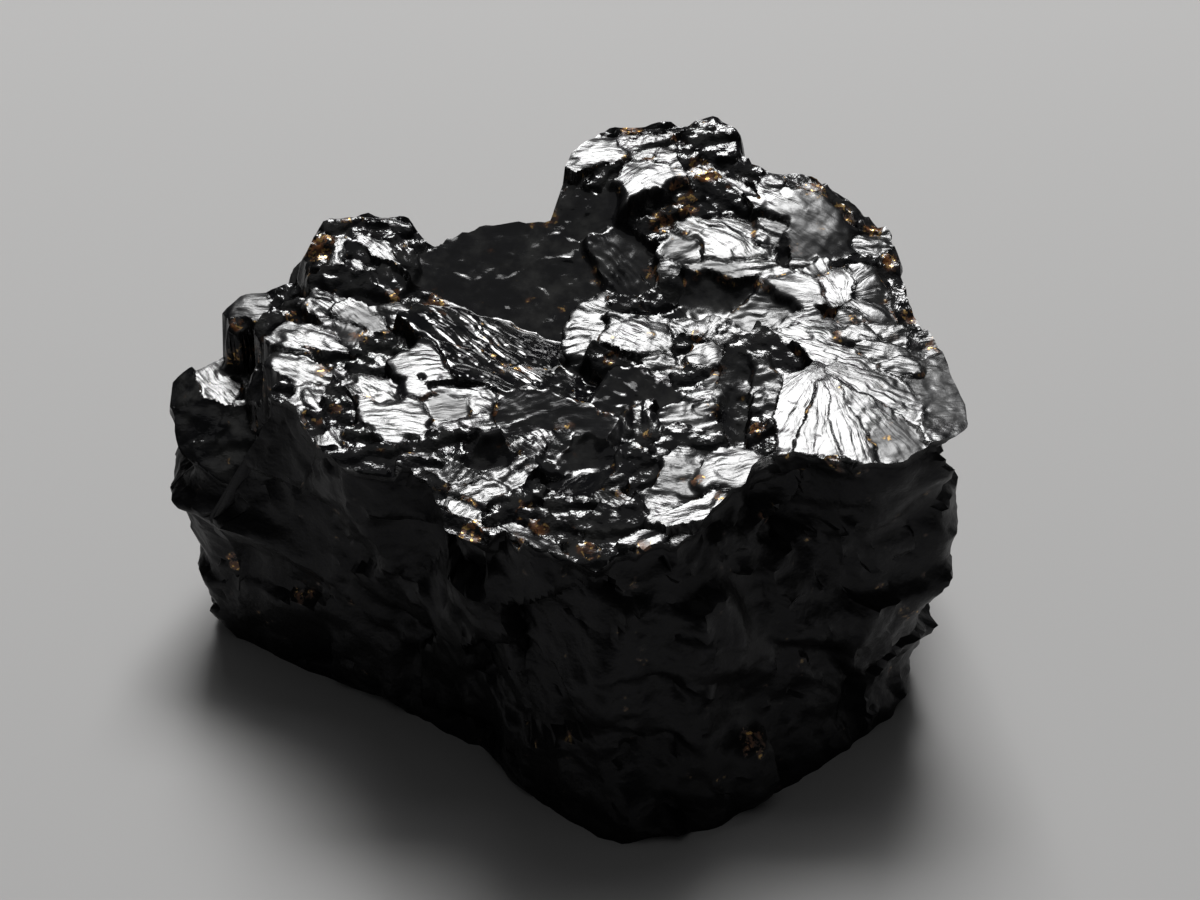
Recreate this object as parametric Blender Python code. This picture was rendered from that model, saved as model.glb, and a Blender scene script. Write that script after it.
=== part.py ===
"""Elite shungite: one broken lump of black, glassy natural carbon, 48 mm wide, on its flattest side.

Its top is a rough, nearly level field of fracture facets, ribbed fans, small lumps and bowls. Its
sides are steep breaks. Lengths are in mm, with X to the right, Y to the back and Z up, until the
mesh is made.
"""

import math
from collections import namedtuple

import bpy
import numpy as np
from mathutils.geometry import delaunay_2d_cdt

NAME = "shungite"
MM = 0.001

# The middle of the lump's bounding box, which becomes the origin.
MIDDLE = (-2.64, -2.71)
# The point that the three outlines are measured around.
HUB = (-1.0, -3.0)

# The edge between the top and the sides, from the left end round by the front.
RIM = (
    (-27.2, 0.4), (-26.0, -2.6), (-23.4, -4.4), (-20.2, -5.2), (-18.8, -6.0), (-17.9, -7.2),
    (-17.2, -8.6), (-16.6, -10.3), (-14.9, -11.7), (-12.6, -12.0), (-11.0, -12.1), (-10.0, -14.2),
    (-8.3, -16.8), (-6.7, -17.7), (-5.5, -17.0), (-3.6, -18.8), (-0.3, -19.5), (1.9, -18.7),
    (4.3, -18.1), (6.4, -16.6), (8.9, -13.2), (9.8, -12.0), (12.6, -12.5), (14.7, -13.2), (17.4, -12.4),
    (19.0, -11.3), (20.7, -10.6), (21.7, -9.4), (21.8, -7.6), (21.2, -4.6), (20.2, -1.4), (19.1, 1.9),
    (18.7, 4.7), (18.4, 8.1), (17.2, 9.9), (15.7, 11.5), (14.0, 12.3), (11.5, 12.2), (9.8, 12.9),
    (9.1, 14.8), (7.7, 16.1), (5.3, 15.3), (3.2, 15.4), (0.4, 14.8), (-1.8, 12.7), (-2.4, 11.2),
    (-3.2, 8.9), (-8.2, 7.9), (-10.9, 7.8), (-12.6, 9.4), (-15.0, 9.9), (-17.2, 8.6), (-18.4, 6.6),
    (-20.6, 6.3), (-22.6, 5.9), (-23.9, 4.4), (-25.2, 3.2), (-26.9, 2.2),
)
# The belt where the upper and the lower sides meet.
BELT = (
    (-27.1, 0.4), (-26.3, -4.1), (-20.5, -7.6), (-14.0, -11.6), (-9.8, -14.0), (-6.4, -16.9), (-3.0, -19.4),
    (0.2, -21.0), (5.6, -19.9), (10.4, -15.9), (14.6, -14.0), (18.0, -12.4), (20.4, -10.8), (21.0, -8.6),
    (20.6, -3.0), (20.4, 2.0), (19.8, 7.4), (17.6, 12.2), (12.4, 15.4), (6.0, 17.0), (0.0, 15.8),
    (-5.0, 11.8), (-11.6, 11.9), (-17.6, 10.6), (-22.8, 7.8), (-25.6, 4.4),
)
BELT_Z = 10.8
# How far the sides as a whole stand in from these outlines.
SIDE_SINK = 0.3
# The rim's teeth narrower than RIM_BLUR fade out within about RIM_REACH below it.
RIM_BLUR = 1.8
RIM_REACH = 1.6
# The usual height of the sides.
SIDE_HEIGHT = 21.0
# The edge of the side that it stands on.
BASE = (
    (-24.3, -0.5), (-23.9, -4.5), (-19.6, -7.0), (-12.8, -10.9), (-7.6, -14.6), (-3.4, -19.4), (0.0, -22.2),
    (3.0, -22.1), (6.5, -21.3), (12.0, -17.6), (16.6, -13.4), (18.6, -11.3), (19.2, -8.0), (19.0, -1.0),
    (18.2, 6.4), (15.0, 11.8), (9.0, 14.6), (1.5, 15.0), (-4.0, 11.4), (-10.5, 9.6), (-16.5, 9.4),
    (-21.0, 6.0),
)

# One facet of the top. Its middle is at x, y, z, and it fills about an ellipse of these half sizes,
# the long one turned by turn degrees from +X. toward and right are its lean in degrees towards -Y
# and +X. dome is how far its middle stands above its edge, and rough is how high its chips are.
# Ribs spread from the point apex, pitch apart at the middle of the facet and rib high.
Facet = namedtuple(
    "Facet", "x y z long short turn toward right dome rough apex pitch rib", defaults=(0, 0.12, None, 1, 0)
)
FACETS = (
    # The two low steps at the left end.
    Facet(-23.5, 1.9, 15.9, 1.9, 1.2, -50, 8, 0, 0.06, 0.04, (-30.3, 9.4), 0.85, 0.05),
    Facet(-21.7, 1.8, 15.6, 1.0, 1.5, 0, 26, 6, 0.00, 0.20),
    Facet(-21.6, 0.3, 15.5, 0.9, 0.7, -20, 9, 2, 0.10, 0.12),
    Facet(-23.2, -2.6, 14.5, 3.4, 1.7, -10, 40, -8, 0.00, 0.15),
    Facet(-26.0, 1.6, 15.9, 0.9, 1.4, 0, 20, -24, 0.00, 0.15),
    Facet(-20.8, -1.0, 18.2, 0.55, 1.7, 12, 30, -28, 0.00, 0.30),
    Facet(-20.5, -3.9, 17.0, 0.9, 0.7, 0, 34, -20, 0.00, 0.30),
    Facet(-21.8, 4.8, 19.6, 1.2, 1.3, 0, 11, -1, 0.20, 0.06),
    Facet(-20.8, 3.5, 19.6, 0.7, 0.7, 0, 10, 0, 0.10, 0.08),
    Facet(-22.6, 3.2, 19.3, 1.2, 0.7, 10, 26, -16, 0.00, 0.20),
    Facet(-19.7, 5.2, 19.8, 1.0, 1.6, 0, 24, -12, 0.00, 0.30),
    # The ridged lump at the back left.
    Facet(-17.7, 6.4, 22.7, 0.8, 1.5, -15, 24, -20, 0.20, 0.30),
    Facet(-16.3, 6.0, 23.0, 1.2, 0.5, 75, 10, -4, 0.10, 0.12),
    Facet(-15.1, 5.9, 22.9, 1.2, 0.4, -50, 27, 0, 0.00, 0.12),
    Facet(-15.6, 8.0, 23.5, 2.2, 0.8, -10, 24, -4, 0.10, 0.20),
    Facet(-13.8, 5.9, 23.1, 2.6, 0.55, -46, 9, 3, 0.06, 0.06, (-25, 17), 0.4, 0.05),
    Facet(-15.3, 4.9, 22.5, 0.6, 0.5, -60, 11, 0, 0.10, 0.12),
    Facet(-14.1, 4.9, 22.4, 0.6, 0.4, 0, 14, 2, 0.00, 0.10, (-25, 8), 0.3, 0.10),
    Facet(-12.8, 3.9, 22.1, 1.7, 0.8, -50, 24, 8, 0.00, 0.08, (-22, 15), 0.5, 0.14),
    Facet(-12.6, 8.4, 23.2, 0.9, 0.35, -25, 9, 2, 0.10, 0.15),
    Facet(-12.0, 7.0, 22.9, 0.4, 0.35, 0, 9, 2, 0.10, 0.05),
    Facet(-12.2, 5.8, 22.6, 1.4, 1.0, -45, 26, 10, 0.10, 0.10, (-25, 18), 0.7, 0.12),
    Facet(-15.2, 3.5, 22.0, 2.6, 0.5, -20, 38, -4, 0.00, 0.15),
    Facet(-12.5, 2.8, 21.9, 0.6, 0.35, -30, 9, 2, 0.10, 0.10),
    Facet(-15.8, 9.4, 23.1, 3.2, 0.9, 0, -22, -4, 0.00, 0.25),
    Facet(-10.9, 7.6, 22.4, 1.2, 0.9, 10, 24, 10, 0.00, 0.25),
    # The bright stepped facets down the left edge.
    Facet(-16.8, 2.3, 21.9, 1.2, 0.8, -35, 9, -1, 0.10, 0.08, (-30, 12), 0.6, 0.08),
    Facet(-14.9, 0.9, 21.8, 1.6, 0.7, -40, 14, 4, 0.00, 0.06, (-24, 9), 0.4, 0.10),
    Facet(-15.5, -0.2, 21.4, 1.5, 0.6, -25, 14, 2, 0.15, 0.08, (-16.6, -5.0), 0.4, 0.12),
    Facet(-18.5, 1.4, 20.9, 1.7, 0.4, -30, 34, -8, -0.10, 0.20),
    Facet(-20.3, 0.9, 20.8, 0.8, 1.0, 0, 30, -10, 0.00, 0.20),
    Facet(-19.3, 3.2, 21.0, 0.9, 0.8, -30, 22, -6, 0.00, 0.30),
    Facet(-17.8, -0.9, 21.4, 1.9, 1.2, -25, 8, -1, 0.06, 0.05, (-30, 5), 0.8, 0.04),
    Facet(-17.2, -2.0, 21.0, 1.6, 0.22, -30, 30, 0, 0.00, 0.10),
    Facet(-18.6, -2.8, 21.0, 2.3, 0.9, -22, 8, -1, 0.06, 0.06, (-30, 4), 0.6, 0.04),
    Facet(-15.9, -2.3, 21.1, 0.9, 0.5, -25, 26, 3, 0.00, 0.30),
    Facet(-17.5, -5.9, 20.7, 1.4, 0.9, -70, 8, -1, 0.06, 0.08, (-24, 8), 0.7, 0.05),
    Facet(-16.6, -7.5, 20.5, 1.1, 0.6, -60, 26, -4, 0.00, 0.15),
    Facet(-19.0, -4.6, 20.7, 1.0, 0.6, -30, 28, -6, 0.00, 0.20),
    Facet(-15.4, -3.7, 20.9, 0.35, 0.8, 10, 9, 2, 0.10, 0.08),
    Facet(-15.4, -7.0, 20.6, 1.5, 0.8, -45, 25, 8, 0.00, 0.20),
    Facet(-13.8, -3.6, 20.9, 1.4, 0.7, -20, 26, 4, 0.00, 0.20),
    Facet(-12.3, 1.4, 21.9, 0.8, 0.7, -20, 8, 2, 0.15, 0.10),
    Facet(-13.4, -1.1, 21.1, 1.6, 0.9, -25, 25, 6, -0.10, 0.25),
    # The rusty hollow between the lump and the long ribs.
    Facet(-10.6, 2.6, 21.2, 1.6, 1.0, -15, 26, 6, -0.20, 0.25),
    # The disc and the bright plates in front of it.
    Facet(-10.8, -4.2, 21.85, 1.45, 1.8, 0, 8, 0, 0.08, 0.015, (-24.0, -4.0), 0.4, 0.03),
    Facet(-13.2, -5.4, 21.3, 1.7, 1.0, -35, 8, 0, 0.06, 0.08, (-24, 3), 0.7, 0.06),
    Facet(-11.4, -8.5, 21.3, 2.6, 1.6, -25, 8, 1, 0.08, 0.04, (-20, -8), 0.8, 0.04),
    Facet(-14.2, -9.4, 20.8, 1.0, 0.9, -30, 24, -4, 0.00, 0.20),
    Facet(-8.6, -7.0, 21.2, 1.5, 0.9, 8, 14, 2, 0.00, 0.03),
    Facet(-7.2, -6.9, 21.2, 0.9, 1.0, -30, 8, 4, 0.10, 0.06),
    Facet(-8.4, -8.4, 21.1, 2.0, 0.8, 12, 8, 1, 0.10, 0.08, (-20, -11), 0.5, 0.05),
    Facet(-8.6, -5.6, 21.3, 2.0, 0.3, -4, 10, 2, 0.10, 0.05),
    Facet(-15.1, -9.5, 20.6, 1.3, 0.8, -70, 8, 0, 0.00, 0.08),
    Facet(-13.9, -11.1, 20.7, 1.6, 0.9, 0, 30, 6, 0.00, 0.15),
    # The broken facets above the front left side.
    Facet(-9.4, -10.3, 21.0, 1.8, 0.9, 0, 25, -6, 0.00, 0.25),
    Facet(-10.2, -11.7, 20.9, 1.2, 0.6, -10, 12, -2, 0.10, 0.30),
    Facet(-8.3, -12.6, 20.7, 1.5, 0.8, -35, 14, -2, 0.00, 0.15, (-14, -19), 0.5, 0.20),
    Facet(-6.9, -14.0, 20.6, 1.6, 1.0, 20, 8, 0, 0.08, 0.10),
    Facet(-5.6, -12.8, 20.7, 1.3, 0.8, 35, 9, 2, 0.08, 0.10),
    Facet(-4.6, -11.5, 20.7, 0.8, 0.5, 20, 10, 0, 0.10, 0.15),
    Facet(-9.9, -13.4, 20.5, 0.9, 0.8, -30, 26, -8, 0.00, 0.15),
    Facet(-7.8, -15.1, 20.3, 1.2, 0.6, -10, 9, -1, 0.00, 0.08, (-12, -21), 0.4, 0.05),
    Facet(-5.0, -14.9, 20.3, 1.4, 0.9, 10, 32, 0, 0.00, 0.20),
    Facet(-6.4, -11.0, 20.7, 1.5, 0.9, 10, 22, 0, -0.45, 0.05),
    Facet(-7.8, -16.4, 20.0, 1.5, 0.8, -35, 26, -8, 0.10, 0.20),
    # The slopes that sweep down into the middle, and the smooth valley that they reach.
    Facet(-8.8, 0.4, 21.7, 2.6, 1.9, -38, -4, 18, 0.00, 0.02),
    Facet(-5.2, -0.6, 20.7, 2.8, 2.0, -38, -4, 17, 0.00, 0.02),
    Facet(-6.4, -3.4, 21.2, 3.0, 1.3, -16, -4, 18, 0.00, 0.02),
    Facet(-2.2, -3.6, 20.1, 2.9, 1.9, -15, -4, 15, 0.00, 0.02),
    Facet(1.4, -5.0, 20.7, 2.6, 1.7, 0, 24, -6, 0.00, 0.02, (-3.2, -2.6), 0.3, 0.03),
    Facet(-2.8, -7.2, 20.5, 3.2, 1.4, -5, 22, 5, 0.00, 0.02, (-9.0, -8.4), 0.3, 0.03),
    # The dark slope below the back edge.
    Facet(-5.6, 5.8, 22.1, 5.4, 3.2, -8, 26, 0, 0.00, 0.03),
    # The crescent and the oval lump behind the valley.
    Facet(-1.0, 0.4, 21.1, 3.0, 0.9, 72, 8, 0, 0.06, 0.06, (4.0, 0.4), 0.6, 0.05),
    Facet(2.3, -0.8, 21.7, 2.2, 1.4, -22, 8, 0, 0.10, 0.07, (-6.0, 4.0), 0.6, 0.04),
    Facet(1.1, 1.2, 21.7, 1.2, 0.4, -5, 10, 2, 0.10, 0.08),
    Facet(1.6, 2.2, 21.5, 1.6, 0.6, -10, 28, 4, 0.00, 0.15),
    Facet(3.4, 2.6, 21.4, 1.4, 0.8, 0, 28, 4, 0.00, 0.25),
    Facet(0.6, -2.6, 20.8, 1.9, 0.7, -20, 32, 0, 0.00, 0.25),
    # The ring, the small knobs and the streaks at the right of the valley.
    Facet(5.6, -0.9, 21.3, 0.9, 0.5, 10, 26, 0, -0.20, 0.15),
    Facet(6.5, -2.3, 21.7, 0.8, 1.0, 10, 8, 0, 0.12, 0.04),
    Facet(6.2, 0.3, 21.6, 1.5, 0.7, 8, 10, -1, 0.10, 0.10, (6.0, -1.4), 0.45, 0.08),
    Facet(7.8, -1.0, 21.5, 0.7, 1.4, 10, 16, 6, 0.00, 0.12),
    Facet(4.9, -1.5, 21.4, 0.6, 0.7, -10, 24, 3, 0.00, 0.20),
    Facet(3.9, -3.1, 21.2, 1.1, 0.7, -10, 9, 1, 0.10, 0.10),
    Facet(3.7, -4.2, 21.0, 0.7, 0.5, -10, 10, 2, 0.10, 0.10),
    Facet(5.6, -4.1, 21.1, 1.2, 0.8, -5, 24, 0, 0.00, 0.20),
    Facet(6.9, -4.4, 21.1, 0.6, 0.9, 10, 9, 0, 0.10, 0.05),
    Facet(6.8, -6.0, 20.9, 1.4, 0.6, 8, 16, 3, 0.10, 0.12, (1.0, -7.0), 0.4, 0.14),
    Facet(6.6, -6.9, 20.9, 0.9, 0.35, 20, 9, 3, 0.10, 0.06),
    Facet(5.4, -8.2, 20.8, 2.2, 0.9, 0, 21, 5, 0.00, 0.06, (-2.0, -9.0), 0.7, 0.08),
    Facet(8.0, -5.6, 20.9, 1.0, 3.6, 0, 26, 10, -0.20, 0.10),
    Facet(9.6, -4.8, 21.5, 0.9, 1.8, -8, 22, -5, 0.00, 0.12),
    Facet(9.4, -7.6, 21.6, 0.8, 2.0, -8, 20, -6, 0.00, 0.12),
    Facet(9.4, -10.3, 21.8, 1.0, 1.2, 0, 22, -10, 0.10, 0.30),
    # The bulb, the dark pit and the plates above the front right side.
    Facet(2.0, -9.0, 21.2, 1.2, 1.6, 0, 18, -4, 0.25, 0.15, (2.2, -11.0), 0.4, 0.10),
    Facet(-3.9, -9.6, 20.9, 1.3, 0.6, 28, 12, 2, 0.10, 0.10, (-1.6, -13.0), 0.35, 0.20),
    Facet(-2.3, -10.0, 20.6, 0.8, 1.0, -20, 22, 4, 0.00, 0.08, (-4.6, -6.0), 0.35, 0.12),
    Facet(-0.9, -12.8, 20.1, 1.9, 1.2, 0, -3, -16, 0.00, 0.03),
    Facet(-1.0, -10.8, 20.4, 1.8, 0.9, 0, 27, 2, -0.20, 0.05),
    Facet(2.0, -12.0, 20.9, 1.1, 1.4, 10, 27, -6, 0.00, 0.15),
    Facet(0.7, -13.1, 20.8, 0.9, 0.6, 10, 14, 0, 0.10, 0.20),
    Facet(0.6, -14.6, 20.6, 0.9, 0.5, -35, 16, 0, 0.00, 0.20, (-5, -10), 0.45, 0.12),
    Facet(4.6, -13.3, 21.2, 1.3, 2.2, -8, 12, 2, 0.10, 0.10),
    Facet(6.6, -13.2, 21.6, 2.2, 1.1, 22, 8, 1, 0.05, 0.04, (-8, -19), 0.9, 0.04),
    Facet(4.8, -10.4, 21.2, 1.8, 1.0, 0, 24, 4, 0.00, 0.12),
    Facet(3.6, -11.1, 21.1, 0.8, 0.5, 10, 11, 0, 0.10, 0.12),
    Facet(4.8, -16.0, 21.0, 2.2, 0.6, 22, 9, 2, 0.00, 0.06),
    # The dark rough chin at the front.
    Facet(-1.8, -15.2, 20.5, 1.5, 0.7, -10, 22, -2, 0.10, 0.25),
    Facet(-4.2, -15.6, 20.3, 1.4, 0.6, -30, 25, -2, 0.00, 0.20),
    Facet(-3.4, -17.7, 20.0, 1.9, 0.20, -28, 16, -2, 0.00, 0.08, (-12, -13), 0.3, 0.10),
    Facet(-2.4, -16.6, 20.2, 2.4, 0.6, -20, 30, -6, 0.00, 0.20),
    Facet(0.2, -16.8, 20.3, 1.8, 1.2, 0, 30, 2, 0.00, 0.15),
    Facet(-0.6, -18.9, 19.7, 2.0, 0.7, 0, 30, 4, 0.00, 0.15),
    Facet(1.9, -17.9, 20.4, 1.0, 0.6, 25, 9, 2, 0.00, 0.08),
    # The knob at the back.
    Facet(0.1, 12.8, 26.0, 1.7, 1.1, 4, 8, -1, 0.08, 0.04),
    Facet(4.4, 12.0, 25.7, 0.8, 1.1, 20, 9, 0, 0.10, 0.08),
    Facet(2.5, 13.3, 26.0, 1.3, 1.0, 10, 16, 2, 0.00, 0.15),
    Facet(2.9, 10.0, 25.4, 2.3, 1.6, 45, 8, 0, 0.08, 0.05, (-5.0, 5.0), 0.9, 0.03),
    Facet(0.2, 11.0, 25.3, 1.1, 0.8, 20, 26, -10, 0.00, 0.25),
    Facet(2.6, 15.2, 26.2, 2.6, 0.7, 0, -6, 0, 0.00, 0.25),
    Facet(5.8, 12.3, 25.3, 1.1, 1.3, 0, 22, 8, 0.00, 0.30),
    Facet(7.3, 14.2, 25.7, 1.6, 1.5, 0, 27, 4, 0.15, 0.25),
    Facet(8.2, 11.2, 24.7, 1.9, 0.20, -42, 13, 4, 0.00, 0.06),
    Facet(7.4, 10.0, 24.3, 1.8, 0.7, -38, 32, 2, 0.00, 0.20),
    Facet(9.4, 12.2, 24.8, 1.0, 0.8, -38, 26, 10, 0.00, 0.20),
    Facet(-0.4, 8.6, 23.7, 1.8, 1.4, 0, 32, -8, 0.00, 0.06),
    # The ridges, the leaf and the smooth facet between the knob and the right edge.
    Facet(3.4, 8.4, 23.7, 1.6, 0.8, 10, 30, 0, 0.00, 0.30),
    Facet(0.9, 5.8, 22.5, 1.6, 2.9, 25, 25, 9, 0.10, 0.03, (-7.0, 12.0), 0.5, 0.10),
    Facet(7.9, 7.0, 23.4, 2.5, 1.6, -32, 8, 1, 0.10, 0.06, (-6.0, 17.0), 0.8, 0.06),
    Facet(6.0, 9.5, 24.2, 2.4, 0.6, -10, 34, 0, 0.00, 0.15),
    Facet(10.6, 7.3, 23.6, 1.0, 1.3, -30, 10, 0, 0.00, 0.10, (-2.0, 16.0), 0.6, 0.06),
    Facet(11.4, 6.0, 23.1, 0.25, 1.0, 10, 36, 8, 0.00, 0.10),
    Facet(4.9, 6.1, 23.0, 1.1, 0.9, 30, 16, -2, 0.10, 0.06),
    Facet(4.2, 4.9, 22.6, 0.5, 0.8, 10, 9, 0, 0.10, 0.08),
    Facet(8.4, 4.4, 22.95, 2.3, 0.7, -3, 8, 1, 0.05, 0.06),
    Facet(12.7, 4.9, 22.8, 0.8, 0.3, -4, 9, 2, 0.05, 0.12),
    Facet(13.2, 8.0, 23.8, 2.8, 2.4, -30, 17, 7, 0.20, 0.03),
    Facet(10.9, 11.3, 24.4, 1.0, 0.8, -10, 8, 0, 0.10, 0.12),
    Facet(12.6, 11.0, 24.2, 1.2, 0.8, -30, 15, 6, 0.00, 0.20),
    Facet(15.4, 10.0, 23.3, 1.6, 0.9, -50, 16, 16, 0.00, 0.30),
    # The dark bowl, and the small fan with its rays.
    Facet(6.8, 2.6, 21.8, 2.4, 1.4, 0, 29, 2, -0.30, 0.04, (9.0, -4.0), 0.5, 0.08),
    Facet(4.2, 3.3, 21.7, 0.8, 0.8, 0, 36, -12, -0.20, 0.10),
    Facet(9.8, 1.5, 21.9, 1.9, 1.5, 0, 19, -4, -0.20, 0.05, (14.6, 1.9), 0.5, 0.08),
    Facet(12.0, 2.3, 22.7, 2.3, 1.0, -10, 8, -1, 0.08, 0.04, (15.4, 1.6), 0.45, 0.03),
    Facet(14.4, 2.8, 22.7, 1.4, 1.4, 20, 8, 0, 0.08, 0.04, (14.9, 0.6), 0.5, 0.03),
    Facet(13.4, 4.2, 22.9, 0.8, 1.0, 10, 11, 0, 0.08, 0.04, (14.6, 1.9), 0.4, 0.05),
    Facet(16.6, 3.2, 22.7, 1.6, 1.5, 30, 18, 6, 0.10, 0.02, (14.6, 1.9), 0.38, 0.07),
    Facet(16.2, 0.9, 22.6, 1.5, 0.9, -25, 9, 3, 0.10, 0.04, (14.6, 1.9), 0.5, 0.05),
    Facet(16.6, 6.9, 22.9, 1.2, 0.9, 0, 10, 3, 0.12, 0.08),
    Facet(17.9, 4.8, 22.4, 1.0, 1.8, 0, 22, 16, 0.00, 0.30),
    Facet(18.8, 0.8, 22.2, 0.9, 2.0, 10, 14, 12, 0.00, 0.30),
    Facet(15.8, 5.2, 22.8, 1.3, 0.5, -10, 28, -4, 0.00, 0.20),
    # The eye-shaped pit, the small round knob and the streaks above the large fan.
    Facet(13.8, 0.8, 22.0, 0.8, 0.38, -35, 26, 0, -0.30, 0.12),
    Facet(15.3, 0.3, 22.5, 0.8, 0.6, 5, 9, 0, 0.10, 0.03),
    Facet(11.9, 0.0, 22.3, 1.2, 0.6, 28, 8, -1, 0.08, 0.07),
    Facet(13.1, -1.6, 22.5, 1.9, 1.1, -25, 8, -1, 0.08, 0.06, (2.0, 4.0), 0.5, 0.04),
    Facet(10.5, -3.7, 21.9, 1.7, 1.1, -20, 23, -3, -0.10, 0.14),
    Facet(15.0, -2.1, 22.7, 1.8, 0.7, -16, 10, 0, 0.10, 0.08, (4.0, 1.0), 0.4, 0.07),
    Facet(17.9, -1.6, 22.5, 1.2, 0.9, 10, 10, 3, 0.10, 0.10),
    Facet(13.6, -3.8, 22.7, 2.0, 0.9, -20, 8, 0, 0.05, 0.04, (4.0, 1.0), 0.5, 0.04),
    Facet(16.6, -3.6, 22.7, 1.4, 0.8, -10, 13, 2, 0.05, 0.06, (6.0, -1.0), 0.4, 0.08),
    # The large bright fan, which is shaped like a scallop shell.
    Facet(11.5, -8.1, 22.3, 1.3, 3.3, -26, 8, -1, 0.05, 0.02, (12.9, -5.0), 0.5, 0.022),
    Facet(12.7, -9.4, 22.3, 1.0, 3.6, -4, 8, -1, 0.05, 0.01, (12.9, -5.0), 0.5, 0.02),
    Facet(14.2, -9.7, 22.3, 1.0, 3.7, 12, 8, 0, 0.05, 0.01, (12.9, -5.0), 0.5, 0.02),
    Facet(15.9, -9.6, 22.2, 1.3, 3.4, 34, 10, 4, 0.05, 0.03, (12.9, -5.0), 0.45, 0.035),
    Facet(16.0, -7.0, 22.5, 1.0, 2.9, 60, 8, 2, 0.05, 0.03, (12.9, -5.0), 0.45, 0.03),
    Facet(12.6, -12.7, 21.6, 1.9, 0.35, -14, 26, 0, 0.00, 0.30),
    Facet(17.8, -4.9, 22.7, 1.1, 0.7, -10, 8, 0, 0.08, 0.04),
    # The flat grey corner at the right.
    Facet(20.3, -7.0, 22.0, 1.4, 3.2, 8, 3, 8, 0.00, 0.05),
    Facet(19.6, -2.2, 22.2, 0.9, 1.2, 0, 10, 4, 0.00, 0.16),
)
# How suddenly one facet gives way to the next, and how far its edge wanders.
FACET_SHARPNESS = 9.0
FACET_WANDER = 0.35

# One scar on the sides. It is at this angle round the hub from +X, in degrees, and this height, and
# it fills an ellipse of these half sizes, turned by turn degrees. depth is how far its middle is
# sunk, or raised if negative.
Scar = namedtuple("Scar", "angle z wide high turn depth")
SCARS = (
    # The left end, with its ledge.
    Scar(176, 13.6, 3.6, 1.6, 5, 0.9),
    Scar(188, 8.4, 4.6, 2.6, -12, 1.1),
    Scar(170, 5.0, 4.2, 3.0, 20, 0.8),
    Scar(184, 11.2, 4.0, 0.7, 0, -0.7),
    # The front left side.
    Scar(205, 12.0, 4.4, 5.6, 10, 0.6),
    Scar(216, 5.2, 5.2, 3.4, -20, 0.8),
    Scar(226, 14.4, 3.0, 4.4, 0, 0.7),
    Scar(240, 8.6, 3.8, 5.2, 15, 0.7),
    # The front right side, with the small steps under its edge.
    Scar(262, 13.2, 3.2, 3.6, -10, 0.7),
    Scar(275, 6.0, 4.0, 3.6, 25, 0.7),
    Scar(288, 13.6, 4.4, 4.2, 0, 0.6),
    Scar(306, 7.0, 4.6, 3.2, -15, 0.9),
    Scar(314, 19.3, 2.4, 0.9, 20, 0.8),
    Scar(322, 17.6, 3.0, 1.1, 12, 0.9),
    Scar(334, 13.2, 3.4, 3.8, 0, 0.7),
    # The right end, cut in near the floor.
    Scar(342, 16.6, 3.6, 3.0, 0, 1.0),
    Scar(337, 4.0, 3.4, 3.0, 0, 1.2),
    Scar(346, 8.8, 3.6, 2.6, 10, 0.8),
    Scar(2, 14.6, 4.8, 3.8, -15, 0.9),
    Scar(18, 7.6, 5.2, 4.0, 10, 1.0),
    Scar(30, 15.8, 3.8, 3.2, 25, 0.8),
    # The back, with the hollow beside the knob.
    Scar(48, 9.0, 5.4, 3.6, -20, 1.2),
    Scar(66, 17.2, 4.6, 3.2, 10, 0.9),
    Scar(80, 8.0, 5.0, 4.4, 15, 1.0),
    Scar(104, 15.2, 5.4, 4.4, -10, 1.3),
    Scar(122, 7.0, 5.2, 3.6, 12, 1.0),
    Scar(138, 15.6, 4.0, 4.0, 20, 0.9),
    Scar(154, 8.6, 4.4, 3.4, -15, 0.9),
)

# The flat patch that it stands on reaches this far from the middle of the base. Round it, shallow
# flakes are lost.
REST_RADIUS = 9.0
FLAKE_DEPTH = 0.9

# Spacing of the points that the shape is worked out at, and the most triangles that are kept.
TOP_SPACING = 0.45
SIDE_SPACING = 0.7
BASE_SPACING = 1.0
MOST_TRIANGLES = 9400


def scatter(i, j, k, seed):
    """A number from 0 to 1 that looks random and is always the same for the same cell."""
    value = np.sin(i * 127.1 + j * 311.7 + k * 74.7 + seed * 53.3) * 43758.5453
    return value - np.floor(value)


def noise(x, y, z, seed):
    """Smooth noise from -1 to 1, with features about 1 wide."""
    i, j, k = np.floor(x), np.floor(y), np.floor(z)
    u, v, w = (t * t * (3 - 2 * t) for t in (x - i, y - j, z - k))
    total = np.zeros_like(x)
    for right in (0, 1):
        for back in (0, 1):
            for up in (0, 1):
                share = abs(1 - right - u) * abs(1 - back - v) * abs(1 - up - w)
                total += share * scatter(i + right, j + back, k + up, seed)
    return 2 * total - 1


def chips(x, y, z, pitch, seed):
    """Small flat chips, each tilted its own way: a height of about -pitch to pitch."""
    i, j, k = np.floor(x / pitch), np.floor(y / pitch), np.floor(z / pitch)
    total = np.zeros_like(x)
    weight = np.zeros_like(x)
    for cell in np.ndindex(3, 3, 3):
        a, b, c = i + cell[0] - 1, j + cell[1] - 1, k + cell[2] - 1
        dx = x - (a + 0.15 + 0.7 * scatter(a, b, c, seed)) * pitch
        dy = y - (b + 0.15 + 0.7 * scatter(a, b, c, seed + 1)) * pitch
        dz = z - (c + 0.15 + 0.7 * scatter(a, b, c, seed + 2)) * pitch
        near = np.exp(-18 * (dx * dx + dy * dy + dz * dz) / pitch**2)
        tilt_x = 2 * scatter(a, b, c, seed + 3) - 1
        tilt_y = 2 * scatter(a, b, c, seed + 4) - 1
        tilt_z = 2 * scatter(a, b, c, seed + 5) - 1
        lift = (scatter(a, b, c, seed + 6) - 0.5) * pitch
        total += near * (tilt_x * dx + tilt_y * dy + tilt_z * dz + lift)
        weight += near
    return total / weight


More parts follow.
